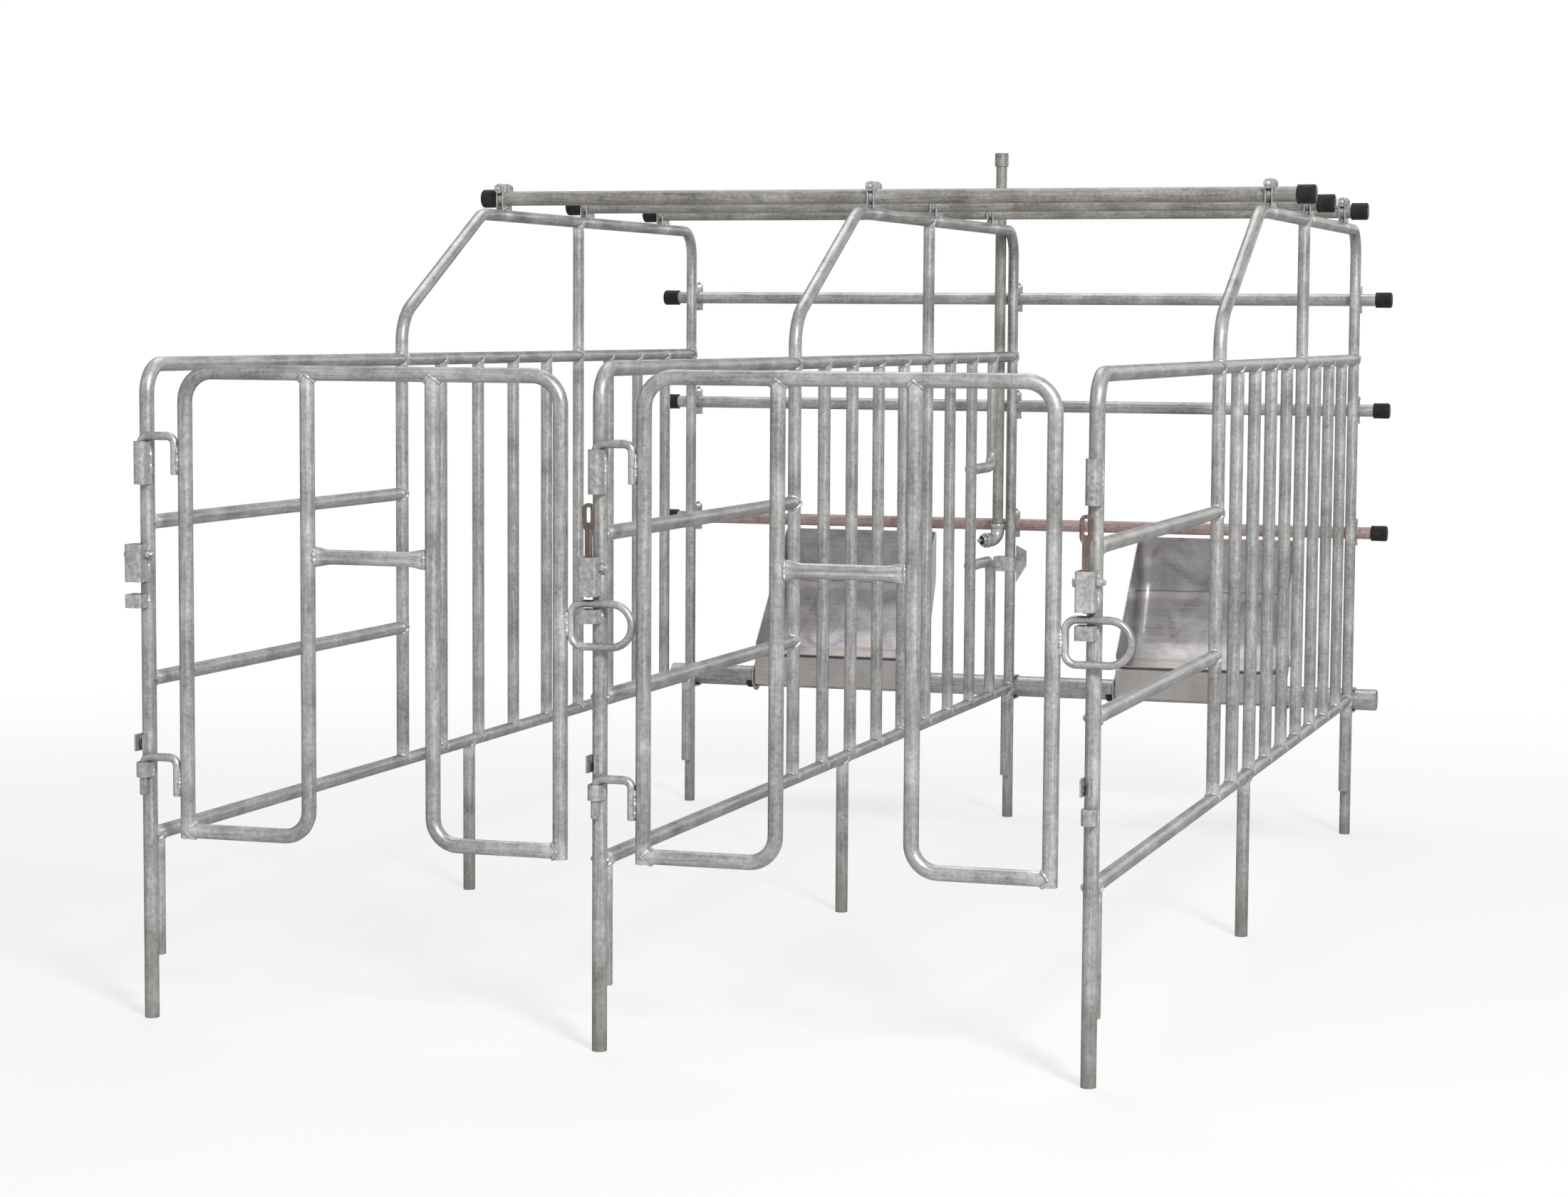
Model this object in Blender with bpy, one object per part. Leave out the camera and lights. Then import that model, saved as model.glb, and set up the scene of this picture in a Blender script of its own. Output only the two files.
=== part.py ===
"""Sow gestation crate: two stalls side by side between three welded tube panels.

Units are metres and +Z is up. The origin is on the floor under the middle rear post. X runs across
the stalls, and Y runs from the rear gates to the feed troughs at the front.
"""

import math

import bmesh
import bpy
from mathutils import Matrix, Vector

# Clearances
GAP = 0.0003                    # between pieces that touch
PIN_CLEARANCE = 0.0006          # between a latch pin and the front wall of its housing
LIFT_CLEARANCE = 0.0015         # between the lower hinge hook and the lugs that keep it down

# Tubes and bars
TUBE_R = 0.01065
TUBE_SIDES = 12
ROD_SIDES = 8
FEEDER_SIDES = 20
BRANCH = 0.5                    # turn of a branch tube's facets, in facets, against those of its rail
WELD = 0.0010                   # depth that a welded plate reaches into a tube
BEND_STEP = math.radians(24)
SAME_POINT = 0.00001            # stations nearer than this are one
TOP_BAR_R = 0.0130
FRONT_BAR_R = 0.0120
FEEDER_TUBE_R = 0.0212
FEEDER_TUBE_WALL = 0.0030

# Panels
STALL_WIDTH = 0.700
PANEL_LENGTH = 2.400
RAIL_HEIGHT = 0.955
BOTTOM_RAIL_HEIGHT = 0.270
HOOP_BEND = 0.0425
REAR_WINDOW = 0.900
BAR_COUNT = 8                   # upright bars between the first one and the front post
ARCH_RISE = 0.257               # from the top rail to the top of the arch
ARCH_KNEE_RISE = 0.070
ARCH_APEX = 1.253
ARCH_KNEE_BEND = 0.070
ARCH_FRONT_BEND = 0.050
ARCH_SUPPORT_BAR = 5
FOOT_TUBE_BOTTOM = 0.090
MIDDLE_LEG = 1.190
HATCH_LOW = 0.545
HATCH_HIGH = 0.735
HATCH_BEND = 0.030
HATCH_TUBE_R = 0.0104

# Gates
HINGE_OFFSET = 0.0190
GATE_HINGE_STILE = 0.071
GATE_LATCH_STILE = 0.052
GATE_DROP = 0.010               # from the top rails of the panels to the top of the gates
GATE_BOTTOM = 0.271
GATE_CORNER = 0.042
GATE_FOOT_BAR = 0.282
GATE_FOOT_BEND = 0.038
GATE_CROSSBAR = 0.685
HOOK_R = 0.0060
HOOK_BEND = 0.0120
UPPER_HOOK_DROP = 0.0925         # from the top of the gate
UPPER_HOOK_LEG = 0.0555
LOWER_HOOK_TOP = 0.387
LOWER_HOOK_LEG = 0.056
LOOP_R = 0.0054
LOOP_DROP = 0.065               # from the top of the latch housing to the loop's upper rod
LOOP_HEIGHT = 0.060
LOOP_REACH = 0.0535
LOOP_CORNER = 0.0160

# Hinge sockets
SOCKET_INNER = 0.0078
SOCKET_WALL = 0.0027
UPPER_SOCKET_HEIGHT = 0.062
LOWER_SOCKET_HEIGHT = 0.022
LUG_HEIGHT = 0.0245
LUG_DEPTH = 0.014

# Latches
LATCH_WALL = 0.0030
LATCH_RIGHT = 0.0050
LATCH_LEFT = 0.0190
LATCH_FRONT = 0.0340
LATCH_RETURN = 0.0040
LATCH_DROP = 0.249              # from the top of the gate to the top of the latch housing
LATCH_HEIGHT = 0.0545
KEEPER_DROP = 0.0725            # from the top of the latch housing to the top of the keeper
KEEPER_HEIGHT = 0.0195
LATCH_BOLT_DROP = 0.015
LATCH_BOLT_OFFSET = 0.0175
PIN_CENTRE = -0.0065
PIN_THICKNESS = 0.0060
PIN_STEM_WIDTH = 0.010
PIN_STEM_LENGTH = 0.092
PIN_EYE_WIDTH = 0.0175
PIN_EYE_HEIGHT = 0.0385
PIN_HOLE_WIDTH = 0.0070
PIN_HOLE_HEIGHT = 0.0220
PIN_TRAVEL = 0.036

# Crossbars, their end caps and clamps
TOP_BAR_AFTER_APEX = (0.103, 0.528)
TOP_BAR_BEFORE_POST = 0.182
TOP_BAR_LEFT = 0.0405
TOP_BAR_RIGHTS = (0.078, 0.048, 0.048)
UPPER_FRONT_BAR_RISE = 0.119    # above the top rails
LOWER_FRONT_BAR_HEIGHTS = (0.853, 0.607)
FRONT_BAR_OVERHANG = 0.070
CAP_LENGTH = 0.032
CAP_WALL = 0.0035
CLAMP_SEAT = 0.0075
CLAMP_WIDTH = 0.0134
CLAMP_DEPTH = 0.043
CLAMP_EAR = 0.0085
CLAMP_CHAMFER = 0.0060
CLAMP_SLOT = 0.0060
FLANGE_WALL = 0.0022
WEB_WALL = 0.0025
BOLT_RISE = 0.0175
BOLT_R = 0.0040
BOLT_HOLE_R = 0.0046
BOLT_FLATS = 0.0130
BOLT_HEAD = 0.0055
NUT_HEIGHT = 0.0065
BOLT_STUB = 0.0050

# Feeder tube and troughs
FEEDER_LEFT = 0.049
FEEDER_RIGHT = 0.055
FEEDER_HEIGHT = 0.270
SADDLE_WALL = 0.0030
SADDLE_WIDTH = 0.024
TROUGH_OFFSET = 0.040           # from the middle of a stall, away from the middle panel
TROUGH_WIDTH = 0.338
TROUGH_WALL = 0.0020
TROUGH_CORNER = 0.026
TROUGH_LIP = (0.008, 0.321)
TROUGH_FLOOR = (0.122, 0.262)
TROUGH_HEEL = (0.212, 0.362)
TROUGH_BACK = (0.258, 0.465)
TROUGH_TOP = 0.574
TROUGH_BENDS = (0.060, 0.090, 0.090)
APRON_BOTTOM = 0.256
APRON_BEND = 0.0060
APRON_FLANGE = 0.018
APRON_INSET = 0.002
BRACKET_WALL = 0.0030
BRACKET_RING = 0.0085
BRACKET_ARM = 0.026
BRACKET_BOLT = (0.120, 0.330)

# Drinker on the middle front post
PIPE_R = 0.0110
PIPE_BORE = 0.0080
PIPE_BACK = 0.022
PIPE_RISE = 0.150               # above the arches
PIPE_BOTTOM = 0.612
PIPE_SOCKET_WALL = 0.0026
PIPE_SOCKET_HEIGHT = 0.027
PIPE_SOCKET_LIP = 0.008
ELBOW_R = 0.0135
ELBOW_BORE = 0.0095
ELBOW_DROP = 0.034
ELBOW_BEND = 0.020
ELBOW_MOUTH = 0.034
ELBOW_YAW = math.radians(38)
NIPPLE_FLANGE_R = 0.0130
NIPPLE_FLANGE = 0.0050
NIPPLE_BODY = 0.012
NIPPLE_BORE = 0.0045
NIPPLE_PIN_R = 0.0038
NIPPLE_PIN_OUT = 0.012
DRINKER_CLAMP_TOP = 0.566
DRINKER_CLAMP_HEIGHT = 0.077
DRINKER_CLAMP_WIDTH = 0.022
DRINKER_STRAP_HEIGHT = 0.030

# Places that follow from the sizes above
GATE_Y = -HINGE_OFFSET
GATE_TOP = RAIL_HEIGHT - GATE_DROP
UPPER_HOOK_TOP = GATE_TOP - UPPER_HOOK_DROP
LATCH_TOP = GATE_TOP - LATCH_DROP
ARCH_HEIGHT = RAIL_HEIGHT + ARCH_RISE
ARCH_KNEE_HEIGHT = RAIL_HEIGHT + ARCH_KNEE_RISE
PIPE_TOP = ARCH_HEIGHT + PIPE_RISE
FRONT_BAR_HEIGHTS = (RAIL_HEIGHT + UPPER_FRONT_BAR_RISE, *LOWER_FRONT_BAR_HEIGHTS)
PANELS = {"left": -STALL_WIDTH, "middle": 0.0, "right": STALL_WIDTH}
X_AXIS = Vector((1, 0, 0))
Y_AXIS = Vector((0, 1, 0))
Z_AXIS = Vector((0, 0, 1))


def clear_scene():
    """Remove every object of the scene that the script runs in."""
    for item in list(bpy.data.objects):
        bpy.data.objects.remove(item, do_unlink=True)


def material(name, colour, roughness, metallic):
    """Return a Principled material with one colour."""
    made = bpy.data.materials.new(name)
    made.use_nodes = True
    shader = made.node_tree.nodes["Principled BSDF"]
    shader.inputs["Base Color"].default_value = (*colour, 1.0)
    shader.inputs["Roughness"].default_value = roughness
    shader.inputs["Metallic"].default_value = metallic
    made.diffuse_color = (*colour, 1.0)
    return made


FINISHES = {
    "galvanised": ((0.50, 0.52, 0.52), 0.55, 0.80),
    "weathered": ((0.40, 0.39, 0.36), 0.65, 0.70),
    "pinkish": ((0.46, 0.36, 0.33), 0.65, 0.40),
    "stainless": ((0.62, 0.61, 0.63), 0.30, 1.00),
    "zinc": ((0.60, 0.60, 0.55), 0.35, 1.00),
    "brown_steel": ((0.27, 0.19, 0.13), 0.60, 0.60),
    "rubber": ((0.04, 0.035, 0.03), 0.80, 0.00),
}


def place(name, mesh_data, finish, origin=(0.0, 0.0, 0.0)):
    """Make one object from mesh data in world metres, with its origin at a chosen point."""
    work = mesh_data
    bmesh.ops.recalc_face_normals(work, faces=work.faces)
    bmesh.ops.translate(work, verts=work.verts, vec=-Vector(origin))
    mesh = bpy.data.meshes.new(name)
    work.to_mesh(mesh)
    work.free()
    mesh.shade_smooth()
    mesh.set_sharp_from_angle(angle=math.radians(35))
    item = bpy.data.objects.new(name, mesh)
    item.location = origin
    colour, roughness, metallic = FINISHES[finish]
    mesh.materials.append(material(name + "_" + finish, colour, roughness, metallic))
    bpy.context.scene.collection.objects.link(item)
    return item


def rounded(corners, radii, closed=False):
    """Return (point, direction) stations along a path whose corners are arcs."""
    count = len(corners)
    points = [Vector(corner) for corner in corners]
    stations = []
    if not closed:
        stations.append((points[0], (points[1] - points[0]).normalized()))
    inner = range(count) if closed else range(1, count - 1)
    for index in inner:
        before = (points[index] - points[index - 1]).normalized()
        after = (points[(index + 1) % count] - points[index]).normalized()
        radius = radii[index if closed else index - 1]
        turn = before.angle(after)
        reach = radius * math.tan(turn / 2)
        axis = before.cross(after).normalized()
        start = points[index] - before * reach
        centre = start + axis.cross(before) * radius
        steps = max(2, round(turn / BEND_STEP))
        for step in range(steps + 1):
            spin = Matrix.Rotation(turn * step / steps, 3, axis)
            stations.append((centre + spin @ (start - centre), spin @ before))
    if not closed:
        stations.append((points[-1], (points[-1] - points[-2]).normalized()))
    kept = stations[:1]
    for station in stations[1:]:
        if (station[0] - kept[-1][0]).length > SAME_POINT:
            kept.append(station)
    return kept


def ring(work, point, direction, normal, radius, sides, cope=None, sense=1, phase=0.0):
    """Add one ring of vertices; a cope pulls it back from a round rail whose axis is at point."""
    side = direction.cross(normal)
    verts = []
    for index in range(sides):
        angle = 2 * math.pi * (index + phase) / sides
        across = radius * math.cos(angle)
        spot = point + normal * across + side * (radius * math.sin(angle))
        if cope is not None:
            clear = (cope + GAP) / math.cos(2 * math.pi * phase / sides)
            spot -= direction * (sense * math.sqrt(clear ** 2 - across ** 2))
        verts.append(work.verts.new(spot))
    return verts


def bridge(work, low, high):
    """Join two rings; where one ring has twice the vertices, each of its pairs meets one vertex."""
    if len(low) > len(high):
        low, high = high, low
    count = len(low)
    if len(high) == count:
        for index in range(count):
            after = (index + 1) % count
            work.faces.new((low[index], low[after], high[after], high[index]))
        return
    for index in range(count):
        after = (index + 1) % count
        middle = 2 * index + 1
        work.faces.new((low[index], high[middle], high[2 * index]))
        work.faces.new((low[index], low[after], high[middle]))
        work.faces.new((low[after], high[(middle + 1) % len(high)], high[middle]))


def close_end(work, verts, phase=0.0):
    """Close a ring with strips between vertices that lie equally far across, as a cope needs."""
    count = len(verts)
    half = count // 2
    if phase:
        for index in range(half - 1):
            work.faces.new((verts[index], verts[index + 1], verts[count - index - 2], verts[count - index - 1]))
        return
    work.faces.new((verts[0], verts[1], verts[count - 1]))
    for index in range(1, half - 1):
        work.faces.new((verts[index], verts[index + 1], verts[count - index - 1], verts[count - index]))
    work.faces.new((verts[half - 1], verts[half], verts[half + 1]))


def tube(
    work, corners, radii=(), normal=X_AXIS, radius=TUBE_R, sides=TUBE_SIDES, copes=(None, None), phase=0.0
):
    """Sweep a round bar along a path in one plane, with square or coped ends."""
    stations = rounded(corners, radii)
    rings = []
    last = len(stations) - 1
    for index, (point, direction) in enumerate(stations):
        cope = copes[0] if index == 0 else copes[1] if index == last else None
        sense = -1 if index == 0 else 1
        rings.append(ring(work, point, direction, normal, radius, sides, cope, sense, phase))
    for low, high in zip(rings, rings[1:]):
        bridge(work, low, high)
    close_end(work, rings[0], phase)
    close_end(work, rings[-1], phase)


def closed_loop(work, corners, radii, normal, radius, sides):
    """Sweep a round bar along a closed path in one plane."""
    stations = rounded(corners, radii, closed=True)
    rings = [ring(work, point, way, normal, radius, sides) for point, way in stations]
    for low, high in zip(rings, rings[1:] + rings[:1]):
        bridge(work, low, high)


def pipe(work, corners, radii, normal, outer, inner, sides=TUBE_SIDES):
    """Sweep a pipe that is open at both ends along a path in one plane."""
    stations = rounded(corners, radii)
    shells = []
    for radius in (outer, inner):
        rings = [ring(work, point, way, normal, radius, sides) for point, way in stations]
        for low, high in zip(rings, rings[1:]):
            bridge(work, low, high)
        shells.append(rings)
    bridge(work, shells[0][0], shells[1][0])
    bridge(work, shells[0][-1], shells[1][-1])


def turned(work, origin, direction, profile, closed=False, normal=None):
    """Stack rings along an axis. A profile row is (distance, radius, sides); six sides are a hexagon."""
    normal = normal or (X_AXIS if abs(direction.z) > 0.5 else Z_AXIS)
    rings = []
    for distance, radius, sides in profile:
        reach = radius / math.cos(math.pi / 6) if sides == 6 else radius
        rings.append(ring(work, Vector(origin) + direction * distance, direction, normal, reach, sides))
    pairs = list(zip(rings, rings[1:]))
    if closed:
        pairs.append((rings[-1], rings[0]))
    for low, high in pairs:
        bridge(work, low, high)
    if not closed:
        close_end(work, rings[0])
        close_end(work, rings[-1])


def to_space(axis, first, second, along):
    """Turn plane coordinates into a point: X planes hold (y, z), Y planes (x, z), Z planes (x, y)."""
    if axis == "X":
        return Vector((along, first, second))
    if axis == "Y":
        return Vector((first, along, second))
    return Vector((first, second, along))


def plate(work, outline, axis, low, high):
    """Extrude an outline between two planes."""
    ends = []
    for along in (low, high):
        ends.append([work.verts.new(to_space(axis, first, second, along)) for first, second in outline])
    bridge(work, ends[0], ends[1])
    work.faces.new(ends[0])
    work.faces.new(ends[1])


def arc(centre, radius, start, end, steps):
    """Return points on an arc in a plane, with angles in degrees."""
    points = []
    for step in range(steps + 1):
        angle = math.radians(start + (end - start) * step / steps)
        points.append((centre[0] + radius * math.cos(angle), centre[1] + radius * math.sin(angle)))
    return points


def flat_path(corners, radii):
    """Return the points of a path in a plane whose corners are arcs."""
    lifted = [(first, second, 0.0) for first, second in corners]
    return [(point.x, point.y) for point, way in rounded(lifted, radii)]


def offset_path(path, distance):
    """Return a plane path moved sideways by a distance, with mitred corners."""
    points = [Vector(point) for point in path]
    normals = []
    for before, after in zip(points, points[1:]):
        way = (after - before).normalized()
        normals.append(Vector((-way.y, way.x)))
    moved = []
    for index, point in enumerate(points):
        first = normals[max(index - 1, 0)]
        second = normals[min(index, len(normals) - 1)]
        moved.append(tuple(point + (first + second) * (distance / (1 + first.dot(second)))))
    return moved


def strip(work, path, thickness, axis, low, high):
    """Extrude a bent sheet whose middle line is a plane path."""
    left = offset_path(path, thickness / 2)
    right = offset_path(path, -thickness / 2)
    plate(work, left + right[::-1], axis, low, high)


def solid(shape):
    """Return a temporary object that holds the given shape."""
    bmesh.ops.recalc_face_normals(shape, faces=shape.faces)
    mesh = bpy.data.meshes.new("work")
    shape.to_mesh(mesh)
    shape.free()
    item = bpy.data.objects.new("work", mesh)
    item.hide_render = True
    item.display_type = "WIRE"
    bpy.context.scene.collection.objects.link(item)
    return item


def combine(base, steps):
    """Apply exact Booleans to a base shape; each step is an operation and a shape."""
    body = solid(base)
    helpers = []
    for operation, shape in steps:
        helper = solid(shape)
        helpers.append(helper)
        change = body.modifiers.new(operation.lower(), "BOOLEAN")
        change.operation = operation
        change.solver = "EXACT"
        change.object = helper
    graph = bpy.context.evaluated_depsgraph_get()
    work = bmesh.new()
    work.from_object(body, graph)
    for item in helpers + [body]:
        bpy.data.objects.remove(item, do_unlink=True)
    return work


def joined(shapes):
    """Return the union of shapes that overlap, as welded pieces do."""
    return combine(shapes[0], [("UNION", shape) for shape in shapes[1:]])


def moved(shape, matrix):
    """Return a moved copy of a shape."""
    work = shape.copy()
    bmesh.ops.transform(work, matrix=matrix, verts=work.verts)
    return work


def plate_of(outline, axis, low, high):
    """Return a shape with one extruded outline."""
    work = bmesh.new()
    plate(work, outline, axis, low, high)
    return work


def strip_of(path, thickness, axis, low, high):
    """Return a shape with one bent sheet."""
    work = bmesh.new()
    strip(work, path, thickness, axis, low, high)
    return work


def bolt_of(seat, direction, grip):
    """Return a shape with one bolt and its nut."""
    work = bmesh.new()
    bolt(work, seat, direction, grip)
    return work


def round_bar(direction, centre, radius, length, sides=TUBE_SIDES, normal=X_AXIS):
    """Return a shape with one straight round bar about a centre."""
    work = bmesh.new()
    reach = Vector(direction) * (length / 2)
    tube(work, (Vector(centre) - reach, Vector(centre) + reach), (), normal, radius, sides)
    return work


def bolt(work, seat, direction, grip):
    """Add a hexagon bolt with its nut; seat is under the head, and direction runs to the nut."""
    flats = BOLT_FLATS / 2
    shank = BOLT_R * math.cos(math.pi / 6)
    nut = grip + NUT_HEIGHT
    rows = [(-BOLT_HEAD, flats, 6), (0.0, flats, 6), (0.0, shank, 6), (grip, shank, 6)]
    rows += [(grip, flats, 6), (nut, flats, 6), (nut, shank, 6), (nut + BOLT_STUB, shank, 6)]
    turned(work, seat, direction, rows)


def panel_tube(x, places, radii=(), copes=(None, None), phase=0.0, radius=TUBE_R):
    """Return a tube that lies in a panel's plane, from (y, z) places."""
    work = bmesh.new()
    corners = [Vector((x, y, z)) for y, z in places]
    tube(work, corners, radii, X_AXIS, radius, TUBE_SIDES, copes, phase)
    return work


def bar_places():
    """Return the Y places of the upright bars, which split the space before the rear window evenly."""
    pitch = (PANEL_LENGTH - REAR_WINDOW) / (BAR_COUNT + 1)
    return [REAR_WINDOW + pitch * index for index in range(BAR_COUNT + 1)]


def mid_rail_heights():
    """Return the heights of the rails that split the rear window into three."""
    step = (RAIL_HEIGHT - BOTTOM_RAIL_HEIGHT) / 3
    return [BOTTOM_RAIL_HEIGHT + step, BOTTOM_RAIL_HEIGHT + 2 * step]


def doubler_offset():
    """Return the distance between the axes of a post and the foot tube welded beside it."""
    return 2 * TUBE_R + GAP


def panel_bars(x, has_hatch):
    """Return the upright bars; the last one of a panel with a hatch bends back to its neighbour twice."""
    places = bar_places()
    rail_cope = (None, TUBE_R)
    bars = []
    for y in places[:-1] if has_hatch else places:
        bars.append(panel_tube(x, ((y, BOTTOM_RAIL_HEIGHT), (y, RAIL_HEIGHT)), (), rail_cope, BRANCH))
    if has_hatch:
        low_path = ((places[-1], BOTTOM_RAIL_HEIGHT), (places[-1], HATCH_LOW), (places[-2], HATCH_LOW))
        bars.append(panel_tube(x, low_path, (HATCH_BEND,), (None, None), BRANCH, HATCH_TUBE_R))
        high_path = ((places[-1], RAIL_HEIGHT), (places[-1], HATCH_HIGH), (places[-2], HATCH_HIGH))
        bars.append(panel_tube(x, high_path, (HATCH_BEND,), (TUBE_R, None), BRANCH, HATCH_TUBE_R))
    return bars


def panel_feet(x):
    """Return the leg under the middle of a panel and the tubes welded beside its posts."""
    feet = [(y, FOOT_TUBE_BOTTOM) for y in (doubler_offset(), PANEL_LENGTH - doubler_offset())]
    feet.append((MIDDLE_LEG, 0.0))
    return [panel_tube(x, ((y, low), (y, BOTTOM_RAIL_HEIGHT)), (), (None, None), BRANCH) for y, low in feet]


def build_panel(side, x):
    """Build one panel: hoop with its lugs, infill, arch with its clamps and front post with its own."""
    name = "panel_" + side
    both = (TUBE_R, TUBE_R)
    hoop_path = ((0, 0), (0, RAIL_HEIGHT), (PANEL_LENGTH + TUBE_R, RAIL_HEIGHT))
    hoop = joined([panel_tube(x, hoop_path, (HOOP_BEND,))] + hinge_lugs(x))
    place(name + "_rear_hoop", hoop, "galvanised", (x, 0, 0))

    bottom_path = ((0, BOTTOM_RAIL_HEIGHT), (PANEL_LENGTH, BOTTOM_RAIL_HEIGHT))
    infill = [panel_tube(x, bottom_path, (), both)]
    infill += panel_bars(x, side == "middle")
    for height in mid_rail_heights():
        infill.append(panel_tube(x, ((0, height), (REAR_WINDOW, height)), (), (TUBE_R, None)))
    infill += panel_feet(x)
    place(name + "_infill", joined(infill), "galvanised", (x, 0, BOTTOM_RAIL_HEIGHT))

    arch_path = (
        (REAR_WINDOW, RAIL_HEIGHT),
        (REAR_WINDOW, ARCH_KNEE_HEIGHT),
        (ARCH_APEX, ARCH_HEIGHT),
        (PANEL_LENGTH, ARCH_HEIGHT),
        (PANEL_LENGTH, RAIL_HEIGHT),
    )
    arch = [panel_tube(x, arch_path, (ARCH_KNEE_BEND, ARCH_KNEE_BEND, ARCH_FRONT_BEND), both)]
    support = bar_places()[ARCH_SUPPORT_BAR]
    arch.append(panel_tube(x, ((support, RAIL_HEIGHT), (support, ARCH_HEIGHT)), (), (TUBE_R, None), BRANCH))
    top_clamp = clamp(TOP_BAR_R)
    arch += [moved(top_clamp, Matrix.Translation((x, y, top_bar_height()))) for y in top_bar_places()]
    front_clamp = moved(clamp(FRONT_BAR_R), Matrix.Rotation(-math.pi / 2, 4, "X"))
    spots = [Matrix.Translation((x, front_bar_place(), height)) for height in FRONT_BAR_HEIGHTS]
    arch.append(moved(front_clamp, spots[0]))
    place(name + "_top_arch", joined(arch), "galvanised", (x, REAR_WINDOW, RAIL_HEIGHT))

    post = [panel_tube(x, ((PANEL_LENGTH, 0), (PANEL_LENGTH, RAIL_HEIGHT)), (), (None, TUBE_R))]
    post += [moved(front_clamp, spot) for spot in spots[1:]]
    post.append(feeder_saddle(x))
    place(name + "_front_post", joined(post), "galvanised", (x, PANEL_LENGTH, 0))


def post_plan(across):
    """Return how far behind a post's front point its round face lies at a distance across."""
    return math.sqrt((TUBE_R + GAP) ** 2 - across ** 2)


def hook_drop():
    """Return how far below a hook's axis its bend meets the rim of the socket."""
    inside = HOOK_BEND - HOOK_R
    return HOOK_BEND - math.sqrt(inside ** 2 - (HOOK_BEND - SOCKET_INNER) ** 2)


def hinge_lugs(x):
    """Return the lugs welded to a rear post above the lower socket, which keep the hook down."""
    low = LOWER_HOOK_TOP + HOOK_R + LIFT_CLEARANCE
    near = WELD - TUBE_R
    front = near - LUG_DEPTH
    lugs = []
    for left, start in ((x + near - SOCKET_WALL, 0.0), (x, near)):
        right = left + SOCKET_WALL
        outline = ((left, start), (right, start), (right, front), (left, front))
        lugs.append(plate_of(outline, "Z", low, low + LUG_HEIGHT))
    return lugs


def build_hinge_sockets(side, x):
    """Build the two rolled sockets on a rear post."""
    middle = SOCKET_INNER + SOCKET_WALL / 2
    seat = -post_plan(SOCKET_INNER)
    legs = [(x - middle, seat)]
    legs += arc((x, GATE_Y), middle, 180, 360, 6)
    legs += [(x + middle, seat)]
    sockets = (("upper", UPPER_HOOK_TOP, UPPER_SOCKET_HEIGHT), ("lower", LOWER_HOOK_TOP, LOWER_SOCKET_HEIGHT))
    for level, hook_top, height in sockets:
        top = hook_top - hook_drop() - GAP
        work = strip_of(legs, SOCKET_WALL, "Z", top - height, top)
        place(f"{level}_hinge_socket_{side}", work, "galvanised", (x, GATE_Y, top))


def latch_plan(x):
    """Return the middle line of the bent plate that forms a latch housing, seen from above."""
    half = LATCH_WALL / 2
    corners = (
        (x + LATCH_RIGHT, -post_plan(LATCH_RIGHT - half)),
        (x + LATCH_RIGHT, -LATCH_FRONT),
        (x - LATCH_LEFT, -LATCH_FRONT),
        (x - LATCH_LEFT, -LATCH_RETURN),
        (x - post_plan(LATCH_RETURN - half), -LATCH_RETURN),
    )
    return flat_path(corners, (LATCH_WALL, LATCH_WALL, LATCH_WALL))


def latch_bolt_seat(x):
    """Return the place under the head of the bolt across a latch housing."""
    return Vector((x + LATCH_RIGHT + LATCH_WALL / 2 + GAP, -LATCH_BOLT_OFFSET, LATCH_TOP - LATCH_BOLT_DROP))


def latch_bolt_grip():
    """Return the length of a latch bolt between its head and its nut."""
    return LATCH_RIGHT + LATCH_LEFT + LATCH_WALL + 2 * GAP


def build_latch(side, x):
    """Build the latch housing on a rear post, the keeper for the tip of the pin and the bolt."""
    housing = strip_of(latch_plan(x), LATCH_WALL, "Z", LATCH_TOP - LATCH_HEIGHT, LATCH_TOP)
    middle = latch_bolt_seat(x) - X_AXIS * (latch_bolt_grip() / 2)
    hole = round_bar(X_AXIS, middle, BOLT_HOLE_R, 2 * latch_bolt_grip(), ROD_SIDES, Y_AXIS)
    housing = combine(housing, [("DIFFERENCE", hole)])
    place("latch_housing_" + side, housing, "galvanised", (x, 0, LATCH_TOP))
    top = LATCH_TOP - KEEPER_DROP
    keeper = strip_of(latch_plan(x), LATCH_WALL, "Z", top - KEEPER_HEIGHT, top)
    place("latch_keeper_" + side, keeper, "galvanised", (x, 0, top))
    across = bolt_of(latch_bolt_seat(x), -X_AXIS, latch_bolt_grip())
    place("latch_bolt_" + side, across, "zinc", tuple(middle))


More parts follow.
